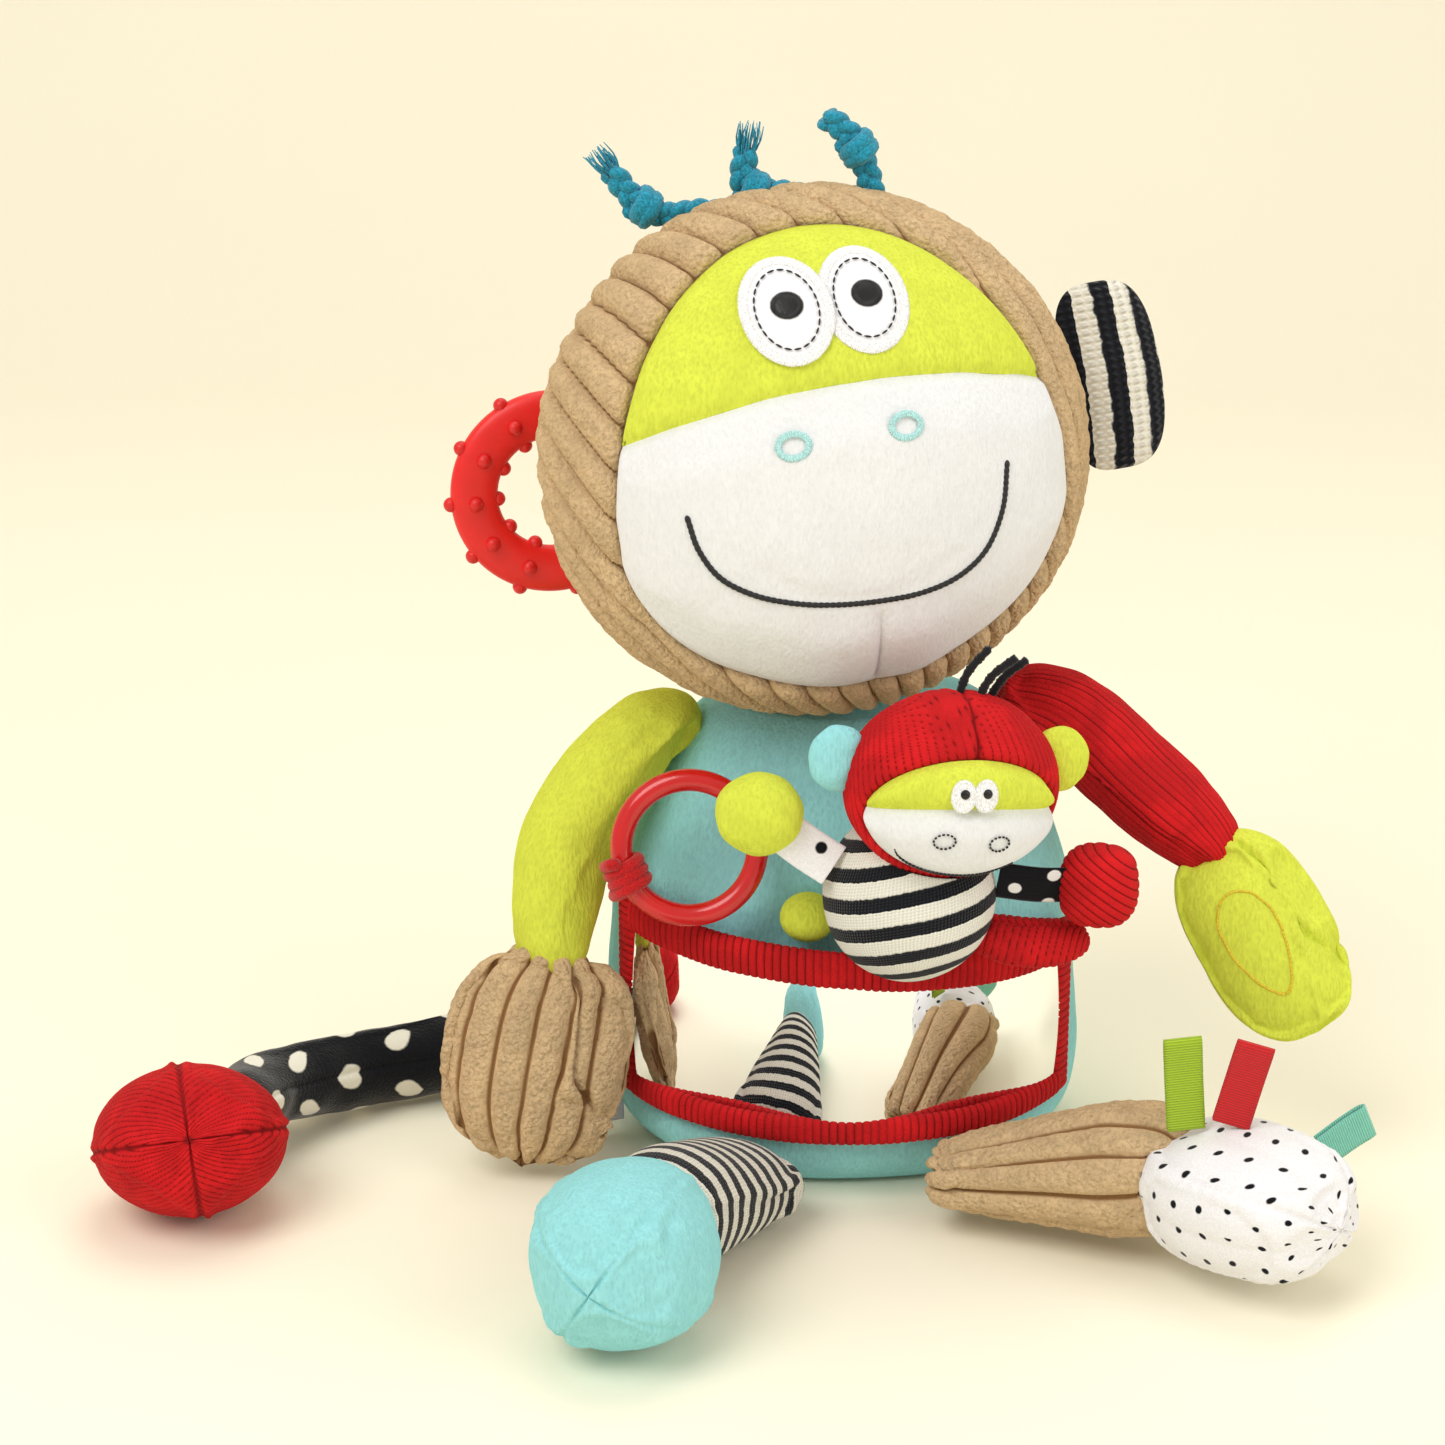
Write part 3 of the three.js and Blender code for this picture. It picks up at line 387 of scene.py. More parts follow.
def plastic(name, colour, roughness, depth=0.0):
    """Moulded plastic with a faint skin texture and rubbed, duller patches."""
    skin = Finish(name, Specular_IOR_Level=0.5, Coat_Weight=0.3 if roughness < 0.3 else 0.05,
                  Coat_Roughness=0.12)
    skin.shader.inputs["Subsurface Weight"].default_value = depth
    skin.shader.inputs["Subsurface Radius"].default_value = (0.006, 0.002, 0.001)
    skin.shader.inputs["Subsurface Scale"].default_value = 1.0
    rubbed = skin.noise(120.0, 4.0)
    tone = skin.mix(rubbed.step(0.35, 0.7), shade(colour, 0.94), colour)
    return skin.use(
        Base_Color=tone,
        Roughness=rubbed * 0.12 + roughness,
        Normal=skin.bump(skin.noise(500.0, 2.0), 0.00008, 0.4),
    )


def mirror_sheet():
    """Flexible mirror: it bows slightly, so what it shows bends."""
    sheet = Finish("mirror_sheet", Metallic=1.0, Base_Color=(0.93, 0.94, 0.945, 1))
    smear = sheet.noise(40.0, 3.0)
    waves = sheet.bump(sheet.noise(26.0, 1.0), 0.0008, 0.25)
    return sheet.use(Roughness=smear.step(0.45, 0.8) * 0.03 + 0.012, Normal=waves)


# %% The toy's own finishes
LIME = paint(214, 224, 78)
AQUA = paint(150, 216, 220)
WHITE = paint(228, 229, 231)
TAN = paint(214, 184, 142)
# Painted shade: the next colour is the dark tone given to the grooves between the chenille cords.
VALLEY_SHADE = paint(142, 104, 66)
CHERRY = paint(196, 22, 27)
INK = paint(14, 16, 22)
CREAM = paint(232, 228, 214)
TEAL = paint(34, 152, 182)

lime_plush = plush("lime_plush", LIME)
aqua_plush = plush("aqua_plush", AQUA, 0.07)
white_plush = plush("white_plush", WHITE, 0.03, 0.8)
tan_chenille = chenille("tan_chenille", TAN, VALLEY_SHADE)
red_corduroy = corduroy("red_corduroy", CHERRY)
baby_knit = striped_knit("baby_striped_knit", paint(238, 236, 226), INK, 0.0112, 0.53, 0.001, coarse=0.8)
ear_knit = striped_knit("ear_striped_knit", CREAM, INK, 0.0142, 0.5, 0.001, across=True, coarse=2.6)
fine_knit = striped_knit("fine_striped_knit", CREAM, INK, 0.0084, 0.5, 0.0025)
dotted_velvet = dotted("dotted_velvet", INK, CREAM, 0.0225, 0.0046, 0.3)
dotted_jersey = dotted("dotted_jersey", paint(236, 235, 238), INK, 0.0105, 0.0011, 0.0, 0.7)
teether_plastic = plastic("teether_plastic", paint(232, 24, 22), 0.38, 0.12)
ring_plastic = plastic("ring_plastic", paint(206, 16, 18), 0.14)
mirror_finish = mirror_sheet()
teal_rope = braid("teal_rope", TEAL)
black_cord = braid("black_cord", paint(22, 23, 28), 0.5)
red_cord = braid("red_cord", paint(205, 22, 26), 0.7)
black_thread = thread("black_thread", paint(20, 20, 24))
aqua_thread = thread("aqua_thread", paint(178, 226, 226))
white_thread = thread("white_thread", paint(246, 246, 246), 0.35)
gold_thread = thread("gold_thread", paint(226, 196, 40))
white_patch = plush("white_patch", paint(238, 238, 242), 0.02, 0.4)
print("finishes:", len(bpy.data.materials))

# %% [markdown]
# ## Sewn panels
# Every fabric piece here starts as a grid of points: rows run along the piece and columns run across
# or round it. A grid keeps true cloth coordinates, so stripes and ribs follow the piece as woven
# cloth does, and seams are simply rows or columns that are pulled in. Lengths are in millimetres
# until the mesh is made.

# %% Curves and numbers
from mathutils import noise


def unit(v):
    return v / np.maximum(np.linalg.norm(v, axis=-1, keepdims=True), 1e-9)


def ease(x, low, high):
    """0 at low, 1 at high, smooth between."""
    t = np.clip((x - low) / (high - low), 0, 1)
    return t * t * (3 - 2 * t)


def dent(x, width):
    """1 at zero, fading over the width."""
    return np.exp(-((x / width) ** 2))


def lumps(points, size):
    """Smooth noise at every point, about -1 to 1."""
    flat = points.reshape(-1, 3) / size
    return np.array([noise.noise(p) for p in flat.tolist()]).reshape(points.shape[:-1])


def smooth_line(points, count):
    """Evenly spaced points on a smooth curve through the given ones."""
    p = np.array(points, float)
    p = np.vstack([2 * p[0] - p[1], p, 2 * p[-1] - p[-2]])
    t = np.linspace(0, 1, 60, endpoint=False)[:, None]
    dense = []
    for a, b, c, d in zip(p, p[1:], p[2:], p[3:]):
        ta, tb, tc = (np.linalg.norm(q) ** 0.5 for q in (b - a, c - b, d - c))
        out = ((b - a) / ta - (c - a) / (ta + tb) + (c - b) / tb) * tb
        into = ((c - b) / tb - (d - b) / (tb + tc) + (d - c) / tc) * tb
        dense.append(b + out * t + (3 * (c - b) - 2 * out - into) * t**2 + (2 * (b - c) + out + into) * t**3)
    return evenly(np.vstack([*dense, p[-2:-1]]), count)


def evenly(line, count):
    run = np.concatenate([[0], np.cumsum(np.linalg.norm(np.diff(line, axis=0), axis=1))])
    want = np.linspace(0, run[-1], count)
    return np.stack([np.interp(want, run, line[:, k]) for k in range(3)], 1)


def length_of(line):
    return float(np.linalg.norm(np.diff(line, axis=0), axis=1).sum())


def blunt(wave, power):
    """A sine or cosine flattened towards 1 and -1, for sections with soft corners."""
    return np.sign(wave) * np.abs(wave) ** power


def placed(frame, points):
    """Points given in a piece's own frame, in the toy's frame."""
    m = np.array(frame)
    return points @ m[:3, :3].T + m[:3, 3]


def set_in_place(panel, frame):
    """Move a panel from its own frame, whose origin it faces away from, to the toy's."""
    panel.points = placed(frame, panel.points)
    panel.middle = np.array(frame.translation)
    return panel


def turn(degrees, axis):
    return Matrix.Rotation(math.radians(degrees), 4, axis)


print("a test curve is", round(length_of(smooth_line([(0, 0, 0), (10, 0, 0)], 9)), 2), "mm")

# %% Panels
def smoother(a, count, axis, closed):
    """A grid with more points along one axis, on smooth curves through the old ones."""
    a = np.moveaxis(a, axis, 0)
    n = len(a)
    where = np.arange(count) * n / count if closed else np.linspace(0, n - 1, count)
    i = np.minimum(np.floor(where).astype(int), n - 1 if closed else n - 2)
    t = (where - i).reshape((-1,) + (1,) * (a.ndim - 1))
    pick = (lambda k: a[(i + k) % n]) if closed else (lambda k: a[np.clip(i + k, 0, n - 1)])
    p, q, r, s = pick(-1), pick(0), pick(1), pick(2)
    made = q + 0.5 * t * (r - p + t * (2 * p - 5 * q + 4 * r - s + t * (3 * (q - r) + s - p)))
    return np.moveaxis(made, 0, axis)


class Panel:
    """A sewn piece as a grid of points, closed round its columns or open."""

    def __init__(self, points, closed=True, middle=None):
        self.points = np.array(points, float)
        self.closed = closed
        self.middle = self.points.reshape(-1, 3).mean(0) if middle is None else np.array(middle, float)
        self.rib = None
        self.cloth = None

    def normals(self):
        p = self.points
        if self.closed:
            across = np.roll(p, -1, 1) - np.roll(p, 1, 1)
        else:
            across = np.gradient(p, axis=1)
        n = np.cross(across, np.gradient(p, axis=0))
        size = np.linalg.norm(n, axis=2)
        for row, near in ((0, 1), (-1, -2)):
            if size[row].max() < 1e-6:
                n[row] = unit(n[near]).mean(0)
        n = unit(n)
        inward = (n * (p - self.middle)).sum() < 0
        self.flip = not inward
        return -n if inward else n

    def push(self, amount):
        """Move every point along the outward normal."""
        self.points = self.points + self.normals() * np.asarray(amount)[..., None]
        return self

    def finer(self, rows, cols):
        p = smoother(self.points, rows, 0, False)
        self.points = smoother(p, cols, 1, self.closed)
        return self

    def grid(self):
        """Where each point is along and across, 0 to 1."""
        rows, cols = self.points.shape[:2]
        across = np.arange(cols) / cols if self.closed else np.linspace(0, 1, cols)
        return np.meshgrid(np.linspace(0, 1, rows), across, indexing="ij")

    def run(self):
        """Distance along each column, in mm."""
        step = np.linalg.norm(np.diff(self.points, axis=0), axis=2)
        return np.vstack([np.zeros((1, step.shape[1])), np.cumsum(step, 0)])

    def capped(self):
        """Close both ends with a point in the middle of the end."""
        first = np.repeat(self.points[:1].mean(1, keepdims=True), self.points.shape[1], 1)
        last = np.repeat(self.points[-1:].mean(1, keepdims=True), self.points.shape[1], 1)
        self.points = np.concatenate([first, self.points, last])
        if self.rib is not None:
            self.rib = np.concatenate([self.rib[:1], self.rib, self.rib[-1:]])
        return self

    def default_cloth(self):
        rows = len(self.points)
        p = np.concatenate([self.points, self.points[:, :1]], 1) if self.closed else self.points
        step = np.linalg.norm(np.diff(p, axis=1), axis=2)
        wide = np.median(step.sum(1))
        u = np.tile(np.linspace(0, wide, p.shape[1]), (rows, 1))
        run = self.run()
        return u, np.concatenate([run, run[:, :1]], 1) if self.closed else run

    def mesh(self, name):
        self.normals()
        rows, cols = self.points.shape[:2]
        index = np.arange(rows * cols).reshape(rows, cols)
        if self.closed:
            index = np.concatenate([index, index[:, :1]], 1)
        ring = [index[:-1, :-1], index[:-1, 1:], index[1:, 1:], index[1:, :-1]]
        u, v = self.cloth if self.cloth is not None else self.default_cloth()
        corner = [(s[:-1, :-1], s[:-1, 1:], s[1:, 1:], s[1:, :-1]) for s in (u, v)]
        faces = np.stack(ring, -1).reshape(-1, 4)
        uv = np.stack([np.stack(c, -1).reshape(-1, 4) for c in corner], -1) * MM
        if self.flip:
            faces, uv = faces[:, ::-1], uv[:, ::-1]
        mesh = bpy.data.meshes.new(name)
        mesh.from_pydata((self.points.reshape(-1, 3) * MM).tolist(), [], faces.tolist())
        mesh.uv_layers.new(name="UVMap").data.foreach_set("uv", uv.ravel())
        rib = np.ones((rows, cols)) if self.rib is None else self.rib
        mesh.attributes.new("rib", "FLOAT", "POINT").data.foreach_set("value", rib.ravel())
        weld(mesh)
        return mesh


def weld(mesh):
    """Close poles and seams, so that no two points share a place."""
    work = bmesh.new()
    work.from_mesh(mesh)
    bmesh.ops.remove_doubles(work, verts=work.verts, dist=2e-6)
    bmesh.ops.dissolve_degenerate(work, edges=work.edges, dist=2e-6)
    for face in work.faces:
        face.smooth = True
    work.to_mesh(mesh)
    work.free()


def outward(mesh):
    """Turn every face of a closed mesh outward."""
    work = bmesh.new()
    work.from_mesh(mesh)
    bmesh.ops.recalc_face_normals(work, faces=work.faces)
    work.to_mesh(mesh)
    work.free()
    return mesh


PIECES = {}


def piece(name, shape, finish, body, stands_for=(), thickness=0.0):
    """Make an object from a panel or a mesh, and fasten it to a body if one is given."""
    mesh = shape.mesh(name) if isinstance(shape, Panel) else shape
    made = link(bpy.data.objects.new("fine_" + name, mesh))
    mesh.name = name
    mesh.materials.clear()
    mesh.materials.append(finish)
    if thickness:
        wall = made.modifiers.new("thickness", "SOLIDIFY")
        wall.thickness = thickness * MM
        wall.offset = -1
        wall.use_rim = True
    if body:
        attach(made, body)
    if stands_for:
        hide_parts(*stands_for)
    PIECES[name] = made
    return made


print("panel tools ready")

# %% [markdown]
# ## Stuffed forms
# A stuffed arm, leg or tail is a tube of cloth round a bent middle line, blunt or pointed at its
# ends. `stuffed` lays a grid on such a form. `inflate` then lets Blender's cloth solver blow it up a
# little while its seams stay held, which gives the soft swell and the small puckers beside seams.

# %% Stuffed tubes
def stuffed(spine, size_at, side=(0, 0, 1), square=4.0, rows=40, cols=48):
    """A tube round a spine: size_at(u) gives half its height and half its width."""
    count = 400
    line = smooth_line(spine, count)
    u = (1 - np.cos(np.pi * np.linspace(0, 1, rows))) / 2
    end = np.maximum(0, 1 - np.abs(2 * u - 1) ** square) ** (1 / square)
    step = u * (count - 1)
    centre = np.stack([np.interp(step, np.arange(count), line[:, k]) for k in range(3)], 1)
    slope = unit(np.gradient(line, axis=0))
    tangent = unit(np.stack([np.interp(step, np.arange(count), slope[:, k]) for k in range(3)], 1))
    across = unit(np.cross(tangent, np.array(side, float)))
    up = np.cross(across, tangent)
    high, wide = size_at(u)
    angle = np.arange(cols) / cols * 2 * np.pi
    tall = (end * high)[:, None] * np.sin(angle)
    broad = (end * wide)[:, None] * np.cos(angle)
    return Panel(centre[:, None] + up[:, None] * tall[..., None] + across[:, None] * broad[..., None])


def steady(high, wide):
    return lambda u: (np.full_like(u, high), np.full_like(u, wide))


def above_floor(panel, height=0.4):
    """Flatten what the toy stands on, with a soft rim."""
    z = panel.points[..., 2]
    soft = 2.5
    panel.points[..., 2] = np.where(z < height + soft, height + soft * np.exp((z - height - soft) / soft), z)
    return panel


# %% Cloth inflation
SIM_SCALE = 0.01  # the solver works at ten times life size, where its forces are steady
SIM_FRAMES = 20


def inflate(name, panel, sewn, pressure=4.0, spare=0.02, cap=5.0, stiff=4.0):
    """Blow a panel up with the cloth solver. Points where `sewn` is 1 stay where they are."""
    rows, cols = panel.points.shape[:2]
    index = np.arange(rows * cols).reshape(rows, cols)
    for row in (0, -1):
        if np.ptp(panel.points[row], axis=0).max() < 1e-6:
            index[row] = index[row, 0]
    joined = np.concatenate([index, index[:, :1]], 1) if panel.closed else index
    quads = np.stack([joined[:-1, :-1], joined[:-1, 1:], joined[1:, 1:], joined[1:, :-1]], -1).reshape(-1, 4)
    panel.normals()
    if panel.flip:
        quads = quads[:, ::-1]
    faces = [list(dict.fromkeys(q)) for q in quads.tolist()]
    used, back = np.unique(index, return_inverse=True)
    number = {int(old): new for new, old in enumerate(used)}
    mesh = bpy.data.meshes.new(name)
    start = panel.points.reshape(-1, 3)[used] * SIM_SCALE
    mesh.from_pydata(start.tolist(), [], [[number[k] for k in f] for f in faces if len(f) > 2])
    work = link(bpy.data.objects.new(name, mesh))
    held = work.vertex_groups.new(name="sewn")
    weight = sewn.reshape(-1)[used]
    for level in (0.25, 0.5, 0.75, 1.0):
        near = np.nonzero(np.abs(weight - level) <= 0.125)[0]
        held.add(near.tolist(), level, "REPLACE")
    cloth = work.modifiers.new("inflate", "CLOTH")
    rule = cloth.settings
    rule.quality = 6
    rule.mass = 0.3
    rule.tension_stiffness = 15
    rule.compression_stiffness = 10
    rule.bending_stiffness = stiff
    rule.vertex_group_mass = "sewn"
    rule.use_pressure = True
    rule.uniform_pressure_force = pressure
    rule.shrink_min = -spare
    rule.effector_weights.gravity = 0
    cloth.point_cache.frame_start = 1
    cloth.point_cache.frame_end = SIM_FRAMES
    scene = bpy.context.scene
    for frame_number in range(1, SIM_FRAMES + 1):
        scene.frame_set(frame_number)
    seen = work.evaluated_get(bpy.context.evaluated_depsgraph_get()).data
    ended = np.empty(len(seen.vertices) * 3)
    seen.vertices.foreach_get("co", ended)
    moved = (ended.reshape(-1, 3) - start) / SIM_SCALE
    far = np.linalg.norm(moved, axis=1, keepdims=True)
    moved *= np.minimum(1, cap / np.maximum(far, 1e-9))
    panel.points = (panel.points.reshape(-1, 3) + moved[back.reshape(-1)]).reshape(rows, cols, 3)
    bpy.data.objects.remove(work)
    bpy.data.meshes.remove(mesh)
    scene.frame_set(1)
    print(f"{name}: swelled up to {min(cap, far.max()):.1f} mm")
    return panel


# %% Ribs
def ridge(across, pitch, share=0.78):
    """Profile of a cord: 1 on its top, 0 in the flat valley beside it."""
    away = np.abs((across / pitch) % 1 - 0.5) * 2
    return np.clip(1 - (away / share) ** 2.4, 0, 1) ** 0.6


def ribbed(panel, across, pitch, height, fade, share=0.78, knobs=0.0, knob_size=2.4):
    """Raise cords on a panel. `fade` is 0 where a seam flattens them."""
    top = ridge(across, pitch, share) * fade
    lift = height * (top - 0.45)
    if knobs:
        lift = (lift + knobs * lumps(panel.points, knob_size) * top
                + knobs * 0.7 * lumps(panel.points, knob_size * 2) * top)
    panel.push(lift)
    panel.rib = top
    return panel


print("rib tools ready")

# %% [markdown]
# ## Thread
# Stitches repeat along a line, so one Geometry Nodes tree lays them all. It takes a line of points,
# each with a direction for its stitch. A running stitch points along the line, and a satin stitch
# points across it, packed tightly. The same tree sets the round nubs on the teether.

# %% The stitch tree
def stitch_tree():
    tree = bpy.data.node_groups.new("stitches", "GeometryNodeTree")
    face = tree.interface
    face.new_socket("Geometry", in_out="INPUT", socket_type="NodeSocketGeometry")
    lengths = (("Pitch", 0.003), ("Length", 0.002), ("Thickness", 0.001), ("Unevenness", 0.1))
    for label, value in lengths:
        face.new_socket(label, in_out="INPUT", socket_type="NodeSocketFloat").default_value = value
    for label, value in (("Sides", 8), ("Seed", 1)):
        face.new_socket(label, in_out="INPUT", socket_type="NodeSocketInt").default_value = value
    face.new_socket("Finish", in_out="INPUT", socket_type="NodeSocketMaterial")
    face.new_socket("Geometry", in_out="OUTPUT", socket_type="NodeSocketGeometry")
    add, wire = tree.nodes.new, tree.links.new
    given, result = add("NodeGroupInput"), add("NodeGroupOutput")
    sizes = given.outputs
    curve = add("GeometryNodeMeshToCurve")
    wire(sizes["Geometry"], curve.inputs["Mesh"])
    spaced = add("GeometryNodeResampleCurve")
    spaced.mode = "LENGTH"
    wire(curve.outputs[0], spaced.inputs["Curve"])
    wire(sizes["Pitch"], spaced.inputs["Length"])
    lay = add("GeometryNodeInputNamedAttribute")
    lay.data_type = "FLOAT_VECTOR"
    lay.inputs["Name"].default_value = "lay"
    along = add("FunctionNodeAlignRotationToVector")
    along.axis = "Z"
    wire(lay.outputs["Attribute"], along.inputs["Vector"])
    stitch = add("GeometryNodeMeshUVSphere")
    stitch.inputs["Radius"].default_value = 0.5
    wire(sizes["Sides"], stitch.inputs["Segments"])
    wire(sizes["Sides"], stitch.inputs["Rings"])
    vary = add("FunctionNodeRandomValue")
    vary.data_type = "FLOAT"
    low = add("ShaderNodeMath")
    low.operation = "SUBTRACT"
    low.inputs[0].default_value = 1
    wire(sizes["Unevenness"], low.inputs[1])
    wire(low.outputs[0], vary.inputs[2])
    vary.inputs[3].default_value = 1
    wire(sizes["Seed"], vary.inputs["Seed"])
    longer = add("ShaderNodeMath")
    longer.operation = "MULTIPLY"
    wire(vary.outputs[1], longer.inputs[0])
    wire(sizes["Length"], longer.inputs[1])
    size = add("ShaderNodeCombineXYZ")
    wire(sizes["Thickness"], size.inputs[0])
    wire(sizes["Thickness"], size.inputs[1])
    wire(longer.outputs[0], size.inputs[2])
    put = add("GeometryNodeInstanceOnPoints")
    wire(spaced.outputs[0], put.inputs["Points"])
    wire(stitch.outputs["Mesh"], put.inputs["Instance"])
    wire(along.outputs[0], put.inputs["Rotation"])
    wire(size.outputs[0], put.inputs["Scale"])
    real = add("GeometryNodeRealizeInstances")
    smooth = add("GeometryNodeSetShadeSmooth")
    coat = add("GeometryNodeSetMaterial")
    wire(put.outputs[0], real.inputs[0])
    wire(real.outputs[0], smooth.inputs[0])
    wire(smooth.outputs[0], coat.inputs["Geometry"])
    wire(sizes["Finish"], coat.inputs["Material"])
    wire(coat.outputs[0], result.inputs[0])
    return tree


STITCHES = stitch_tree()


def run_tree(tree, name, mesh, values):
    """Put a mesh through a tree and keep the plain mesh that comes out."""
    work = link(bpy.data.objects.new(name, mesh))
    step = work.modifiers.new("nodes", "NODES")
    step.node_group = tree
    for socket in tree.interface.items_tree:
        if socket.in_out == "INPUT" and socket.name in values:
            step[socket.identifier] = values[socket.name]
    graph = bpy.context.evaluated_depsgraph_get()
    done = work.evaluated_get(graph)
    made = bpy.data.meshes.new_from_object(done, preserve_all_data_layers=True, depsgraph=graph)
    bpy.data.objects.remove(work)
    return made


def stitch_mesh(name, line, lay, finish, pitch, length, thickness, uneven=0.1, sides=8, closed=False):
    """Stitches along a line in mm. `lay` is one direction for each point."""
    count = len(line)
    edges = [(i, i + 1) for i in range(count - 1)] + ([(count - 1, 0)] if closed else [])
    mesh = bpy.data.meshes.new(name)
    mesh.from_pydata((np.array(line) * MM).tolist(), edges, [])
    directions = mesh.attributes.new("lay", "FLOAT_VECTOR", "POINT")
    directions.data.foreach_set("vector", unit(np.array(lay)).ravel())
    values = {"Pitch": pitch * MM, "Length": length * MM, "Thickness": thickness * MM}
    values.update({"Unevenness": uneven, "Sides": sides, "Seed": 7, "Finish": finish})
    made = run_tree(STITCHES, name, mesh, values)
    weld(made)
    return made


def running(line):
    """Directions along a line, for running stitches."""
    return unit(np.gradient(np.array(line), axis=0))


def joined(name, meshes):
    """Several meshes as one."""
    work = bmesh.new()
    for mesh in meshes:
        work.from_mesh(mesh)
    made = bpy.data.meshes.new(name)
    work.to_mesh(made)
    work.free()
    for face in made.polygons:
        face.use_smooth = True
    return made


def tube_mesh(name, line, radius, sides=10):
    """A round cord along a line, closed at its ends. Its radius may change along it."""
    line = np.array(line, float)
    tangent = running(line)
    up = np.zeros_like(line)
    first = np.array([0.31, 0.22, 0.92])
    for i, t in enumerate(tangent):
        base = first if i == 0 else up[i - 1]
        up[i] = unit(base - t * (base @ t))
    side = np.cross(tangent, up)
    angle = np.arange(sides) / sides * 2 * np.pi
    r = np.broadcast_to(np.asarray(radius, float), (len(line),))[:, None, None]
    ring = side[:, None] * np.cos(angle)[:, None] + up[:, None] * np.sin(angle)[:, None]
    made = Panel(line[:, None] + ring * r, True, line[len(line) // 2])
    return outward(made.capped().mesh(name))


print("stitch tree has", len(STITCHES.nodes), "nodes")

# %% [markdown]
# ## Cords
# The hair is three short pieces of thick cotton rope, sewn into the crown seam, with a knot near the
# free end. A rope is a three-strand plait, so each strand follows its own wave beside the middle
# line. The grab ring hangs on one red cord that is wound round it three times.


def plait(name, line, strand=2.35, swing=2.5, depth=1.5, lay=11.0):
    """Three strands that cross over each other along a line."""
    total = length_of(line)
    path = evenly(line, int(total * 2.2))
    s = np.linspace(0, total, len(path))
    tangent = running(path)
    side = unit(np.cross(tangent, np.array([0.1, 1.0, 0.15])))
    up = np.cross(side, tangent)
    meshes = []
    for k in range(3):
        phase = 2 * np.pi * (s / lay / 1.5 + k / 3)
        way = path + side * (swing * np.sin(phase))[:, None] + up * (depth * np.sin(2 * phase))[:, None]
        meshes.append(tube_mesh(f"{name}_strand", way, strand, 9))
    return joined(name, meshes)


def coil(centre, axis, radius, rise, turns, start=0.0, count=14):
    """A helix round a centre."""
    axis = unit(np.array(axis, float))
    one = unit(np.cross(axis, [0.2, 0.9, 0.1]))
    two = np.cross(axis, one)
    a = start + np.linspace(0, turns * 2 * np.pi, int(turns * count))
    along = np.linspace(-rise / 2, rise / 2, len(a))[:, None] * axis
    return np.array(centre) + along + radius * (np.cos(a)[:, None] * one + np.sin(a)[:, None] * two)


def frayed(name, tip, axis, rng, reach=11.0, spread=5.5, count=34):
    """Loose yarns where a rope's end has come undone."""
    axis = unit(np.array(axis, float))
    meshes = []
    for _ in range(count):
        out = rng.normal(size=3)
        out -= axis * (out @ axis)
        out = unit(out)
        base = tip + out * rng.uniform(0.4, 2.8) - axis * 2
        far = reach * rng.uniform(0.6, 1.0)
        end = tip + axis * far + out * spread * rng.uniform(0.2, 1.0)
        middle = (base + end) / 2 + out * rng.uniform(-0.5, 1.5)
        line = smooth_line([base, middle, end], 6)
        meshes.append(tube_mesh("yarn", line, np.linspace(0.5, 0.16, 6), 4))
    return joined(name, meshes)


# %% Hair ropes
ROPES = {
    1: [(-27, 2, 338), (-40, 0, 345), (-52, 0, 347), (-66, 0, 346), (-77, 0, 352), (-84, 0, 361)],
    2: [(4, 2, 337), (-8, 0, 348), (-20, 0, 353), (-29, 0, 354), (-38, 0, 357), (-37, 0, 368)],
    3: [(3, 4, 327), (8, 0, 342), (7, 0, 355), (4, 0, 365), (-1, 0, 374), (-9, 0, 380)],
}
for number, points in ROPES.items():
    rng = np.random.default_rng(number)
    line = smooth_line(points, 36)
    body = plait(f"hair_rope_{number}", line)
    rope = piece(f"hair_rope_{number}", body, teal_rope, "head", [f"hair_rope_{number}"])
    tie = evenly(line, 100)[-26]
    axis = running(line)[-9]
    loops = [tube_mesh("loop", coil(tie, axis, 4.6, 6.5, 1.9, s), 2.7, 9) for s in (0.0, 1.3)]
    extras = [piece(f"hair_knot_{number}", joined("knot", loops), teal_rope, "head")]
    if number < 3:
        ends = frayed(f"hair_fray_{number}", line[-1], running(line)[-1], rng)
        extras.append(piece(f"hair_fray_{number}", ends, teal_rope, "head"))
    where = [tuple(p * MM) for p in line]
    print(f"rope {number} is {length_of(line):.0f} mm long")

# %% Small hair cords
BABY_HAIR = {
    1: [(31, -99, 188), (34, -100, 199), (37, -100, 208), (44, -101, 217)],
    2: [(38, -99, 188), (41, -100, 199), (45, -101, 207), (53, -102, 214)],
    3: [(40, -95, 187), (45, -96, 198), (50, -97, 206), (57, -98, 212)],
}
for number, points in BABY_HAIR.items():
    line = smooth_line(points, 24)
    whole = length_of(line)
    sideways = 0.55 * unit(np.cross(running(line), [0, 1, 0.1]))
    wave = np.linspace(0, whole * 1.6, 24)
    twist = [tube_mesh("ply", line + sideways * np.sin(wave + k * np.pi)[:, None], 1.25, 8) for k in range(2)]
    cord = piece(f"baby_hair_cord_{number}", joined("cord", twist), black_cord, "baby_head",
                 [f"baby_hair_cord_{number}"])
    [tuple(p * MM) for p in line]

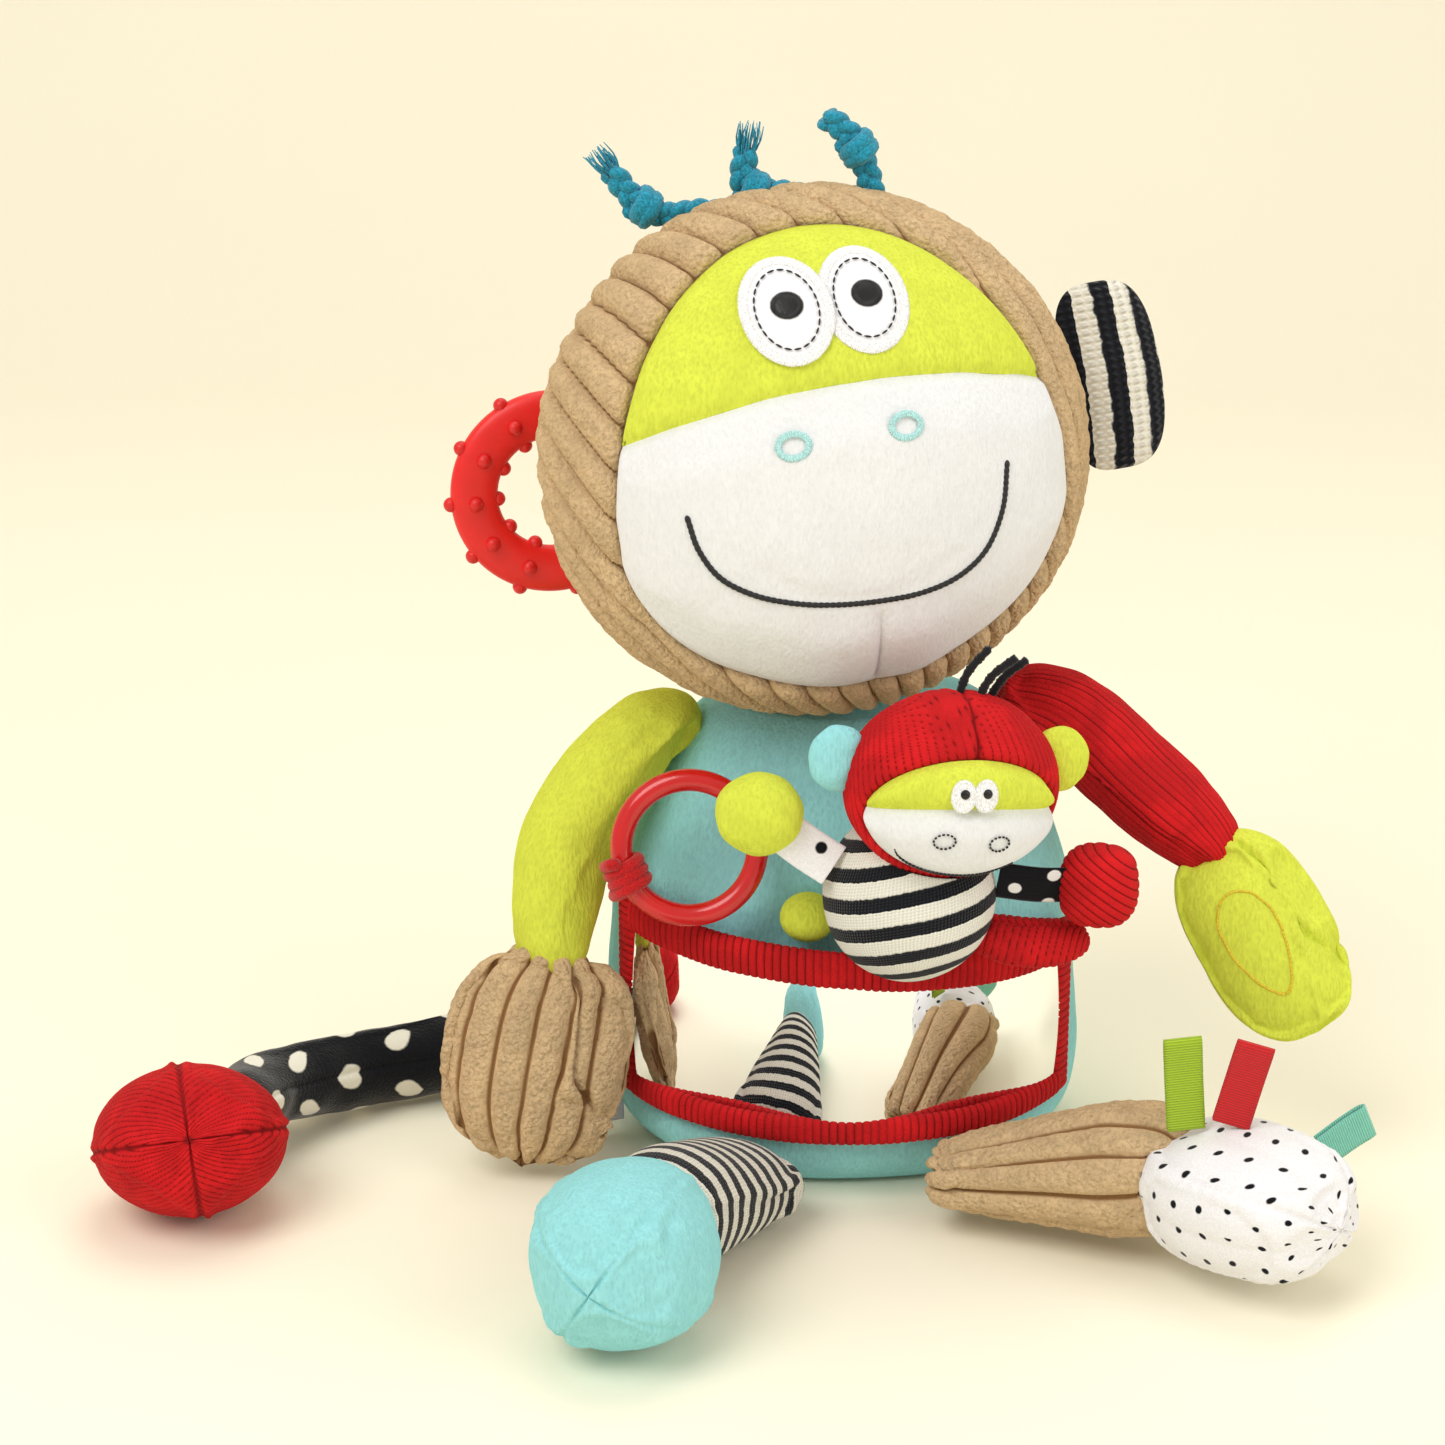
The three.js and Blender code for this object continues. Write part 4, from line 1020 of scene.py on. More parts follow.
# %% The ring's cord
RING_AT = np.array([-57, -66, 133.0])
RING_MID, RING_THICK, WRAP_AT = 24.0, 4.0, math.radians(203)
ring_frame = Matrix.Translation(RING_AT.tolist()) @ turn(-14, "X")
wrap_mid = placed(ring_frame, np.array([[RING_MID * math.cos(WRAP_AT), 0, RING_MID * math.sin(WRAP_AT)]]))[0]
along_ring = np.array(turn(-14, "X"))[:3, :3] @ np.array([-math.sin(WRAP_AT), 0, math.cos(WRAP_AT)])
CORNER = np.array([-80.8, -27.4, 105.0])
CORD_WIDE = 4.6
wraps = coil(wrap_mid, along_ring, RING_THICK + CORD_WIDE / 2 + 0.3, 2.4 * CORD_WIDE, 3.1, 2.2, 18)
into, away = unit(wraps[1] - wraps[0]), unit(wraps[-1] - wraps[-2])
lead_in = smooth_line([CORNER + (0, 0, 1), CORNER + (-2.5, -12, 8), wraps[0] - 9 * into,
                       wraps[0] - 3 * into], 9)
lead_out = smooth_line([wraps[-1] + 3 * away, wraps[-1] + 9 * away, CORNER + (1.5, -12, 9),
                        CORNER + (1.5, -1, 2)], 9)
route = evenly(smooth_line(np.vstack([lead_in, wraps, lead_out]), 400), 130)
for _ in range(6):
    route[1:-1] = (route[:-2] + 2 * route[1:-1] + route[2:]) / 4
cord = piece("ring_cord", tube_mesh("ring_cord", route, CORD_WIDE / 2, 12), red_cord, "torso", ["ring_cord"])
print(f"ring cord is {length_of(route):.0f} mm long")

# %% [markdown]
# ## The head
# The head is a ball of brown ribbed chenille in two halves, joined by a side seam that also holds
# the ears and the hair. A face in two colours is set into the front half. All the panels lie on one
# ellipsoid, so they are made by moving between two edges across its surface, and every seam is
# drawn in a little, as stuffing makes cloth swell between seams.

# %% Head frame
HEAD_AT = (-13, -22, 266)
HEAD = np.array([96.0, 65.0, 91.0])
head_frame = Matrix.Translation(HEAD_AT) @ turn(11, "Z") @ turn(-15, "X") @ turn(-7, "Y")
BABY_AT = (32, -104, 170)
BABY = np.array([37.0, 26.0, 32.0])
baby_frame = Matrix.Translation(BABY_AT) @ turn(15, "Z") @ turn(-6, "X") @ turn(5, "Y")


def face_edge(angle, size, wide, rise, drop, middle):
    """The face's outline on the front of an ellipsoid, as directions."""
    high = np.where(np.sin(angle) > 0, rise, drop)
    x, z = wide * np.cos(angle) / size[0], (middle + high * np.sin(angle)) / size[2]
    return np.stack([x, -np.sqrt(np.maximum(0.02, 1 - x * x - z * z)), z], 1)


def between(first, last, rows):
    """Rows of directions from one edge to another over a ball."""
    t = np.linspace(0, 1, rows)[:, None, None]
    angle = np.arccos(np.clip((first * last).sum(1), -1, 1))[None, :, None]
    return (np.sin((1 - t) * angle) * first + np.sin(t * angle) * last) / np.sin(angle)


def skin_panel(directions, size, lift):
    """Directions laid on an ellipsoid, as a closed ring of columns."""
    points = directions * size
    return Panel(points + unit(points / size**2) * lift, True, (0, 0, 0))


def map_from(directions, pole, radius):
    """How far across and up each direction lies from a pole, as on a flat map."""
    angle = np.arccos(np.clip(directions[..., 1] * pole, -1, 1)) * radius
    flat = directions[..., [0, 2]]
    flat = flat / np.maximum(np.linalg.norm(flat, axis=-1, keepdims=True), 1e-9)
    return flat[..., 0] * angle, flat[..., 1] * angle


def seam_distance(panel):
    """Distance of every point from the panel's first and last row, in mm."""
    run = panel.run()
    return run, run[-1:] - run


# %% Hood
HOOD_PITCH = 13.0
FACE_WIDE, FACE_RISE, FACE_DROP, FACE_MID = 79, 99, 60, -22
around = np.linspace(0, 2 * np.pi, 420, endpoint=False)
outline = unit(face_edge(around, HEAD, FACE_WIDE, FACE_RISE, FACE_DROP, FACE_MID))
SEAM_Y = 8 / HEAD[1]
bearing = np.arctan2(outline[:, 2], outline[:, 0])
rim = math.sqrt(1 - SEAM_Y**2)
seam = np.stack([rim * np.cos(bearing), np.full_like(bearing, SEAM_Y), rim * np.sin(bearing)], 1)
front = between(outline, seam, 52)
hood = skin_panel(front, HEAD, -0.7)
near_face, near_seam = seam_distance(hood)
p, q = map_from(front, -1, 86)
lean = np.radians(24 - 10 * p / 96)
fade = ease(near_face, 0.3, 4.5) * ease(near_seam, 0.3, 4)
hood.push(-2.4 * dent(near_face, 3.2) - 2.2 * dent(near_seam, 3.0) + 1.2 * lumps(hood.points, 34))
ribbed(hood, p * np.cos(lean) + q * np.sin(lean) + 2, HOOD_PITCH, 4.3, fade, 0.9, 0.5)
set_in_place(hood, head_frame)
piece("hood_front", hood, tan_chenille, "head", ["hood_front"], 1.2)

back_pole = np.tile(np.array([0.0, 1.0, 0.0]), (len(seam), 1))
back = between(seam, back_pole, 74)
hood = skin_panel(back, HEAD, -0.7)
near_seam, _ = seam_distance(hood)
p, q = map_from(back, 1, 86)
fade = ease(near_seam, 0.3, 4) * ease(np.abs(p), 0.4, 3.5)
hood.push(-2.2 * dent(near_seam, 3.0) - 1.8 * dent(p, 2.4) + 1.2 * lumps(hood.points, 34))
ribbed(hood, p, HOOD_PITCH, 4.0, fade, 0.9, 0.5)
set_in_place(hood, head_frame)
piece("hood_back", hood, tan_chenille, "head", ["hood_back", "head_filling"], 1.2)
print("hood made")


# %% Face panels
def face_panel(size, low, high, half, rows, cols, puff, wide=14.0):
    """A face panel between two lines across the front of an ellipsoid."""
    x = half * np.sin(np.linspace(-np.pi / 2, np.pi / 2, cols))
    t = np.linspace(0, 1, rows)[:, None]
    z = low(x) * (1 - t) + high(x) * t
    x = np.tile(x, (rows, 1))
    y = -size[1] * np.sqrt(np.maximum(0.01, 1 - (x / size[0]) ** 2 - (z / size[2]) ** 2))
    points = np.stack([x, y, z], -1)
    tall = (high(x[0]) - low(x[0]))[None]
    edge = np.minimum(t, 1 - t) * tall
    side = np.sqrt(np.maximum(0, 1 - (x / half) ** 2)) * half * 0.4
    near = np.minimum(edge, side)
    lift = puff * ease(near, 0, wide) - 2.4 * dent(near, 2.6)
    made = Panel(points + unit(points / size**2) * lift[..., None], False, (0, 0, 0))
    made.flat = (x, z, near)
    return made


def arch(wide, middle, reach):
    return lambda x: middle + reach * np.sqrt(np.maximum(0, 1 - (x / wide) ** 2))


def brow(x):
    return 20.5 - 9.5 * (x / FACE_WIDE) ** 2


crown, jaw = arch(FACE_WIDE, FACE_MID, FACE_RISE), arch(FACE_WIDE, FACE_MID, -FACE_DROP)
forehead = face_panel(HEAD, brow, lambda x: np.maximum(crown(x), brow(x)), 74.2, 56, 150, 1.2)
forehead.push(0.35 * lumps(forehead.points, 18))
set_in_place(forehead, head_frame)
piece("forehead_panel", forehead, lime_plush, "head", ["forehead_panel"], 1.2)

muzzle = face_panel(HEAD, jaw, lambda x: np.minimum(brow(x), crown(x)), 78.8, 110, 190, 3.4, 22)
x, z, near = muzzle.flat
chin = dent(x - 1.5, 1.5) * ease(-z, 52, 60) * ease(near, 0, 3)
smile_bed = 0.9 * dent(z + 50 - 0.011 * x * x, 3) * ease(-np.abs(x), -48, -30)
muzzle.push(-2.0 * chin + 1.3 * dent(np.abs(x - 1.5) - 14, 12) * ease(-z, 55, 66)
            - 0.4 * smile_bed + 0.4 * lumps(muzzle.points, 16))
muzzle.local = muzzle.points.copy()
set_in_place(muzzle, head_frame)
piece("muzzle_panel", muzzle, white_plush, "head", ["muzzle_panel"], 1.2)
print("face made")


# %% [markdown]
# ## Eyes, nostrils and smile
# The eyes are two raised satin patches that overlap, each with a thick satin-stitched rim, a black
# embroidered pupil and a ring of black running stitches. The nostrils are rings of pale thread, and
# the smile is one heavy line of back stitches.

# %% Embroidery tools
def on_ball(size, x, z, lift):
    """Points and outward directions on the front of an ellipsoid."""
    y = -size[1] * np.sqrt(np.maximum(0.01, 1 - (x / size[0]) ** 2 - (z / size[2]) ** 2))
    points = np.stack([x, y, z], -1)
    out = unit(points / size**2)
    return points + out * np.asarray(lift)[..., None], out


def oval(centre, half, count=90, tilt=0.0):
    a = np.linspace(0, 2 * np.pi, count, endpoint=False)
    x, z = half[0] * np.cos(a), half[1] * np.sin(a)
    c, s = math.cos(tilt), math.sin(tilt)
    return centre[0] + x * c - z * s, centre[1] + x * s + z * c


def ring_of(size, frame, centre, half, lift, name, finish, pitch, length, thick, across=True, **more):
    x, z = oval(centre, half)
    line, out = on_ball(size, x, z, np.full_like(x, lift))
    closed = np.vstack([line[-1:], line, line[:1]])
    along = unit(np.gradient(closed, axis=0))[1:-1]
    lay = unit(np.cross(along, out)) if across else along
    m = np.array(frame)[:3, :3]
    return stitch_mesh(name, placed(frame, line), lay @ m.T, finish, pitch, length, thick, closed=True,
                       **more)


def pad_oval(size, frame, centre, half, lift, dome, rings=14, count=72):
    """A low domed oval pad on an ellipsoid, closed underneath."""
    rows = []
    for r in [0, *np.linspace(0.12, 1, rings), 1.0, 0.5, 0]:
        under = len(rows) > rings
        x, z = oval(centre, (half[0] * r, half[1] * r), count)
        height = lift + dome * math.sqrt(max(0, 1 - r * r * 0.9)) if not under else lift - 0.9
        rows.append(placed(frame, on_ball(size, x, z, np.full_like(x, height))[0]))
    made = Panel(np.array(rows), True)
    under, _ = on_ball(size, np.array([centre[0]]), np.array([centre[1]]), np.array([lift - 0.4]))
    made.middle = placed(frame, under)[0]
    return made


black_satin = thread("black_satin", paint(15, 15, 18), 0.25)

# %% Eyes
EYES = {"left": (12.8, 46.5, 2.0), "right": (-13.6, 46.2, 3.1)}
patches, rims, pupils, dashes = [], [], [], []
for way, (x, z, lift) in EYES.items():
    centre = (x, z)
    patches.append(pad_oval(HEAD, head_frame, centre, (14.6, 17.8), lift, 0.9).mesh("patch"))
    rims.append(ring_of(HEAD, head_frame, centre, (13.6, 16.8), lift + 0.5, "rim", white_thread,
                        0.5, 4.2, 0.85))
    pupil = (x + (0.3 if way == "right" else 1.2), z + 1.4)
    pupils.append(pad_oval(HEAD, head_frame, pupil, (4.9, 4.2), lift + 0.9, 0.6, 10, 48).mesh("pupil"))
    pupils.append(ring_of(HEAD, head_frame, pupil, (4.3, 3.6), lift + 1.1, "edge", black_satin,
                          0.5, 2.6, 0.7))
    dashes.append(ring_of(HEAD, head_frame, centre, (10.2, 13.2), lift + 1.35, "dash", black_thread,
                          3.3, 2.8, 0.75, across=False, sides=10))
piece("eye_patches", joined("patches", patches), white_patch, "head", ["eye_patch"])
piece("eye_satin_rims", joined("rims", rims), white_thread, "head")
piece("eye_pupils", joined("pupils", pupils), black_satin, "head")
piece("eye_dashes", joined("dashes", dashes), black_thread, "head")

# %% Nostrils and smile
nostrils = [ring_of(HEAD, head_frame, c, (5.0, 3.9), 4.9, "nostril", aqua_thread, 0.7, 2.6, 1.1)
            for c in ((-20.8, 2.6), (16.8, 3.0))]
piece("nostril_rings", joined("nostrils", nostrils), aqua_thread, "head")


def lifted(panel_local, x, z):
    """How high the muzzle stands at given places."""
    flat = panel_local.reshape(-1, 3)
    heights = []
    for a, b in zip(x, z):
        k = np.argmin((flat[:, 0] - a) ** 2 + (flat[:, 2] - b) ** 2)
        base = on_ball(HEAD, flat[k : k + 1, 0], flat[k : k + 1, 2], np.zeros(1))[0][0]
        heights.append(base[1] - flat[k, 1])
    return np.array(heights)


SMILE = [(-56.5, 0, -15), (-54.5, 0, -25), (-49, 0, -35), (-40, 0, -42), (-28, 0, -47), (-12, 0, -50.5),
         (2, 0, -51.6), (17, 0, -51), (30, 0, -47.5), (40, 0, -40.5), (47, 0, -29), (50.5, 0, -15)]
line = smooth_line(SMILE, 120)
line, out = on_ball(HEAD, line[:, 0], line[:, 2],
                    np.maximum(0.4, lifted(muzzle.local, line[:, 0], line[:, 2])) + 0.8)
m = np.array(head_frame)[:3, :3]
smile = stitch_mesh("smile", placed(head_frame, line), running(line) @ m.T, black_thread, 2.0, 3.4, 2.2,
                    0.08, 10)
piece("smile_stitches", smile, black_thread, "head")
print("face embroidery made")

# %% [markdown]
# ## The two ears
# One ear is a flat pad of wide-striped knit, sewn into the side seam. The other is a
# chunky teething ring held by a chenille loop. The ring's small nubs are set by the stitch tree,
# because they repeat round four circles.

# %% Striped ear
ear = stuffed([(115.5, 6, -25), (115.5, 6, 9), (115.5, 6, 43)], steady(18.5, 6), (1, 0, 0), 3.2, 70, 72)
x, z = ear.points[..., 0].copy(), ear.points[..., 2].copy()
depth = ear.points[..., 1] - 6
ear.points[..., 0] += 2.0 * dent(z - 9, 30) - 2.5
taper = 0.15 + 0.85 * ease(x, 95, 116)
ear.points[..., 1] = 7.5 + depth * taper + 1.0 * lumps(ear.points, 16)
wide = np.concatenate([x, x[:, :1]], 1)
ear.cloth = (wide - 133.4, np.concatenate([z, z[:, :1]], 1))
ear.points = placed(head_frame, ear.points)
ear.middle = ear.points.reshape(-1, 3).mean(0)
held = piece("striped_ear", ear, ear_knit, None, ["striped_ear"])
start, end = placed(head_frame, np.array([[95.0, 6, 9], [106.0, 6, 9]])) * MM
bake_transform(held)

# %% Teething ring
TEETHER_AT = (-108, 24, 240)
teether_frame = Matrix.Translation(TEETHER_AT) @ turn(12, "Z")
MID, HALF_BAND, HALF_THICK = 29.25, 8.75, 4.5


def round_band(mid, half_band, half_thick, rows=120, cols=40, square=2.6):
    """A ring whose section is a rounded oblong."""
    a = np.linspace(0, 2 * np.pi, rows)[:, None]
    b = np.arange(cols) / cols * 2 * np.pi
    r = mid + half_band * blunt(np.cos(b), 2 / square)
    y = half_thick * blunt(np.sin(b), 2 / square)
    return np.stack([r * np.cos(a), y + 0 * a, r * np.sin(a)], -1)


def make_ring(name, points, frame, finish, body, stands_for):
    band = Panel(placed(frame, points), True)
    return piece(name, outward(band.mesh(name)), finish, body, stands_for)


make_ring("teether_ring", round_band(MID, HALF_BAND, HALF_THICK), teether_frame, teether_plastic, "teether",
          ["teether_ring"])
NUB_WIDE = 5.6
nubs = []
for radius, y in ((38.0, 0.0), (20.5, 0.0), (MID, -HALF_THICK), (MID, HALF_THICK)):
    for angle in np.radians(np.arange(54, 309, 32.7)):
        nubs.append([radius * math.cos(angle), y, radius * math.sin(angle)])
studs = []
for at in placed(teether_frame, np.array(nubs)):
    studs.append(stitch_mesh("nub", [at - 0.01, at + 0.01], [(0, 0, 1), (0, 0, 1)], teether_plastic, 1.0,
                             NUB_WIDE, NUB_WIDE, 0.0, 14))
piece("teether_nubs", joined("nubs", studs), teether_plastic, "teether")

# %% Teether loop
hinge = np.array([-79.4, 30.1, 240.0])
a = np.linspace(0, 2 * np.pi, 150)[:, None]
b = np.arange(20) / 20 * 2 * np.pi
LOOP_RADIUS = 12.9
LOOP_PITCH = 81.05 / 9
r = LOOP_RADIUS + 1.3 * np.cos(b)
band = np.stack([r * np.cos(a), r * np.sin(a), 8.2 * blunt(np.sin(b), 0.6) + 0 * a], -1)
loop = Panel(band @ np.array(turn(12, "Z"))[:3, :3].T + hinge, True)
outside = (np.cos(b) > 0) * 1.0
loop.middle = hinge
arc = np.tile(a * LOOP_RADIUS, (1, 20))
rib = ridge(arc, LOOP_PITCH, 0.8)
radial = unit(loop.points - hinge) * np.array([1, 1, 0])
loop.points = loop.points + radial * (1.3 * (rib - 0.4) * outside)[..., None]
loop.rib = rib * outside
piece("teether_loop", outward(loop.mesh("teether_loop")), tan_chenille, "head", ["teether_loop"])
print("ears made")

# %% [markdown]
# ## Body, pouch and ring
# The body is one stuffed bag of aqua plush that stands on a flat, weighted seat. Its pouch has a
# sheet of flexible mirror for a front, framed by bands of narrow red corduroy whose wales run
# across each band.

# %% Body
def torso_size(u):
    at = [0, 0.1, 0.2, 0.38, 0.55, 0.75, 0.9, 1]
    wide = np.interp(u, at, [82, 89, 90, 89, 86, 75, 64, 52])
    deep = np.interp(u, at, [66, 74, 73, 66, 60, 53, 44, 36])
    return wide, deep


torso = stuffed([(0, 0, -6), (0, 0, 89), (3, 0, 176)], torso_size, (1, 0, 0), 7, 90, 150)
for _ in range(6):
    torso.points[2:-2] = (torso.points[1:-3] + torso.points[2:-2] + torso.points[3:-1]) / 3
x, y, z = np.moveaxis(torso.points, 2, 0)
side_seam = dent(y + 4, 3.0) * ease(np.abs(x), 30, 50)
torso.push(-1.6 * side_seam + 1.3 * lumps(torso.points, 42) + 0.5 * lumps(torso.points, 17))

# The body's top is pushed clear of the head wherever the neck's two joints can take it.
NECK_AT = Vector((-10, 2, 172))
for turned in (-20, 0, 20):
    for nod in (-12, 0, 5):
        swing = (Matrix.Translation(NECK_AT) @ turn(turned, "Z")
                 @ turn(nod, "X") @ Matrix.Translation(-NECK_AT))
        swung = swing @ head_frame
        local = placed(swung.inverted(), torso.points)
        room = HEAD + 3.5
        deep = np.linalg.norm(local / room, axis=2)
        push = np.maximum(0, 1 - deep)[..., None] * unit(local) * room
        torso.points = placed(swung, local + push)

# Where the pouch covers it, the body is drawn in so that it stays behind the mirror.
behind = (ease(torso.points[..., 2], 18, 30) * ease(-torso.points[..., 2], -96, -84)
          * ease(-torso.points[..., 1], 10, 40))
pouch_line = np.hypot(torso.points[..., 0] / (84 - 7 * behind), torso.points[..., 1] / (76 - 8 * behind))
bearing = np.degrees(np.abs(np.arctan2(torso.points[..., 0] / 83, -torso.points[..., 1] / 76)))
covered = (1 - ease(bearing, 63, 71)) * (torso.points[..., 2] > 8) * (torso.points[..., 2] < 100)
shrink = 1 + (1 / np.maximum(pouch_line, 1) - 1) * covered
torso.points[..., :2] *= shrink[..., None]
above_floor(torso)
body = piece("torso", torso, aqua_plush, "torso", ["torso_cover", "torso_filling", "seat_bead_bag"])

neck = stuffed([(-10, 3, 150), (-10, 2, 172), (-10, 0, 196)], steady(31, 25), (1, 0, 0), 3, 30, 72)
rows, around = neck.grid()
neck.push(1.1 * np.sin(around * 2 * np.pi * 18) * ease(rows, 0.1, 0.3) * ease(-rows, -0.9, -0.6))
gather = piece("neck_gather", neck, aqua_plush, None, ["neck_plug"])
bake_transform(gather)

# %% Mirror pouch
POUCH = (87.0, 80.0)
MIRROR_END = math.radians(61.8)
BAND_END = MIRROR_END + 0.03
FLOOR_Z, TOP_BAND, LOW_BAND, SIDE_BAND = 25.0, 13.0, 9.0, 12.4
BAND_THICK = 5.4
WALE = 2.9


def rim_height(x):
    return 98 - 0.07 * x


def on_pouch(angle, out=0.0):
    """Places and outward directions round the pouch, in plan."""
    place = np.stack([POUCH[0] * np.sin(angle), -POUCH[1] * np.cos(angle)], -1)
    way = unit(place / np.array(POUCH) ** 2)
    return place + way * np.asarray(out)[..., None], way


a = np.linspace(-MIRROR_END, MIRROR_END, 130)
t = np.linspace(0, 1, 46)[:, None]
plan, _ = on_pouch(a)
low, high = FLOOR_Z + LOW_BAND - 3, rim_height(plan[:, 0]) - TOP_BAND + 3
z = low * (1 - t) + high * t
belly = 1.7 * np.sin(np.pi * t) - 0.6 + 0.22 * np.sin(9 * a + 2.0 * t) * np.sin(np.pi * t)
belly = belly - 4.0 * np.sin(np.pi * a / MIRROR_END) ** 2
plan, _ = on_pouch(np.tile(a, (46, 1)), belly)
mirror = Panel(np.concatenate([plan, z[..., None]], 2), False, (0, 0, 60))
sheet = piece("pouch_mirror", mirror, mirror_finish, "torso", ["pouch_mirror"], 1.6)
wide, tall = length_of(mirror.points[23]), length_of(mirror.points[:, 65])


def bound_edge(line, up, out, half_tall, half_thick, pitch, cols=30, square=2.4, height=0.55):
    """A padded band along a line, with wales across it."""
    b = np.arange(cols) / cols * 2 * np.pi
    s, c = blunt(np.sin(b), 2 / square), blunt(np.cos(b), 2 / square)
    along = np.concatenate([[0], np.cumsum(np.linalg.norm(np.diff(line, axis=0), axis=1))])
    top = np.tile(ridge(along, pitch, 0.95)[:, None], (1, cols))
    tall = np.broadcast_to(half_tall, (len(line),))[:, None] + height * top
    thick = half_thick - 0.4 + height * top
    points = line[:, None] + up[:, None] * (tall * s)[..., None] + out[:, None] * (thick * c)[..., None]
    band = Panel(points, True)
    band.rib = top
    band.capped()
    return outward(band.mesh("band"))


def pouch_band(name, middle, half_tall):
    """A level binding whose middle height is given for each place across."""
    count = 460
    a = np.linspace(-BAND_END, BAND_END, count)
    plan, way = on_pouch(a)
    line = np.concatenate([plan, middle(plan[:, 0])[:, None]], 1)
    wobble = lumps(line[:, None], 22)[:, 0] * 0.7
    out = np.concatenate([way, np.zeros((count, 1))], 1)
    line = line + out * wobble[:, None]
    up = np.tile(np.array([0, 0, 1.0]), (count, 1))
    band = bound_edge(line, up, out, half_tall, BAND_THICK / 2, WALE)
    made = piece(name, band, red_corduroy, "torso", [name])


pouch_band("pouch_top_binding", lambda x: rim_height(x) - TOP_BAND / 2, TOP_BAND / 2)
pouch_band("pouch_bottom_binding", lambda x: FLOOR_Z + LOW_BAND / 2 + 0 * x, LOW_BAND / 2)
for name, way in (("pouch_right_binding", -1), ("pouch_left_binding", 1)):
    angle = way * math.radians(66)
    (place,), (out,) = on_pouch(np.array([angle]))
    count = 190
    tall = np.linspace(FLOOR_Z + 1, rim_height(place[0]) - 1, count)
    line = np.stack([np.full(count, place[0]), np.full(count, place[1]), tall], 1)
    out = np.tile(np.array([out[0], out[1], 0.0]), (count, 1))
    sideways = np.cross(out, [0, 0, 1.0])
    band = bound_edge(line, sideways, out, SIDE_BAND / 2, BAND_THICK / 2, WALE)
    made = piece(name, band, red_corduroy, "torso", [name])
print("pouch made")

# %% Grab ring and label
a = np.linspace(0, 2 * np.pi, 110)[:, None]
b = np.arange(24) / 24 * 2 * np.pi
r = RING_MID + RING_THICK * np.cos(b)
torus = np.stack([r * np.cos(a), RING_THICK * np.sin(b) + 0 * a, r * np.sin(a)], -1)
make_ring("grab_ring", torus, ring_frame, ring_plastic, "ring", ["grab_ring"])

label_frame = Matrix.Translation((-93, -20, 12)) @ turn(20, "Z")
u, v = np.meshgrid(np.linspace(-11, 11, 30), np.linspace(-7, 7, 20), indexing="ij")
flap = np.stack([u, 0.8 * np.sin(u / 6) + 0.3 * np.sin(v / 4), v], -1)
label = Panel(placed(label_frame, flap), False, (-93, 20, 12))
woven_label = Finish("woven_label", Roughness=0.55, Sheen_Weight=0.1)
weave = woven_label.noise(2500.0, 1.0, woven_label.stretched((1, 1, 0.3)))
tone = woven_label.mix(weave, paint(214, 208, 232), paint(236, 232, 244))
woven_label.use(Base_Color=tone, Normal=woven_label.bump(weave, 0.0001))
tag = piece("care_label", label, woven_label.material, "torso", ["care_label"], 0.5)

# %% [markdown]
# ## Arms, legs and tail
# Each limb is a stuffed tube that runs into the body, and its mitten, foot or ball is sewn round the
# tube's end. The tubes stay where they are and are fastened to no body. Feet and the
# tail's ball are cut from four gores, so they have four soft corners and seams that cross at the
# tip. The cloth solver swells each one between its seams.

# %% Places of the limbs
RIGHT_WRIST, RIGHT_TIP = (-107, -42, 77), (-119, -58, 8)
LEFT_WRIST, LEFT_TIP = (133, -42, 122), (170, -61, 61)
RIGHT_ANKLE, RIGHT_TOE = (-68, -150, 31), (-88, -216, 36)
LEFT_ANKLE, LEFT_TOE = (111, -117, 32), (161, -164, 33)

# %% Sleeves
SLEEVE_WALES = 42


def sleeve(name, shoulder, elbow, wrist, tip, finish, stands_for, ribs=False):
    wrist, tip = np.array(wrist, float), np.array(tip, float)
    root = np.array(shoulder, float) * (0.74, 1, 1) + (0, 4, 5)

    def size(u):
        round_ = 20 * (0.92 + 0.2 * np.sin(np.pi * u)) * (1 - 0.3 * ease(u, 0.9, 0.99))
        return round_, 20 * (1 - 0.3 * ease(u, 0.9, 0.99)) + 0 * u

    made = stuffed([root, shoulder, elbow, wrist, wrist * 0.88 + tip * 0.12], size, (0, 1, 0), 2.6, 34, 44)
    rows, around = made.grid()
    held = np.maximum(dent(rows, 0.12), dent(rows - 1, 0.09))
    held = np.maximum(held, dent((around + 0.25) % 1 - 0.5, 0.02))
    row_count, column_count = (130, 240) if ribs else (150, 120)
    made = inflate(name, made, held, 3.0, 0.04, 3.0, 2.0).finer(row_count, column_count)
    rows, around = made.grid()
    made.push(0.9 * lumps(made.points, 20) * ease(rows, 0.02, 0.2) + 0.35 * lumps(made.points, 8))
    if ribs:
        wale = np.tile(np.arange(column_count) / column_count * SLEEVE_WALES, (row_count, 1))
        ribbed(made, wale, 1.0, 0.5, ease(rows, 0, 0.03), 0.95)
    done = piece(name, made, finish, None, stands_for)
    first, towards = np.array(shoulder, float), unit(np.array(elbow, float) - np.array(shoulder, float))
    tuple((first - 6 * towards) * MM)
    tuple((first + 24 * towards) * MM)
    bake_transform(done)


sleeve("right_sleeve", (-72, -14, 160), (-103, -24, 118), RIGHT_WRIST, RIGHT_TIP, lime_plush,
       ["right_sleeve", "right_arm_filling"])
sleeve("left_sleeve", (75, -9, 168), (104, -24, 146), LEFT_WRIST, LEFT_TIP, red_corduroy,
       ["left_sleeve", "left_arm_filling"], True)
print("sleeves made")


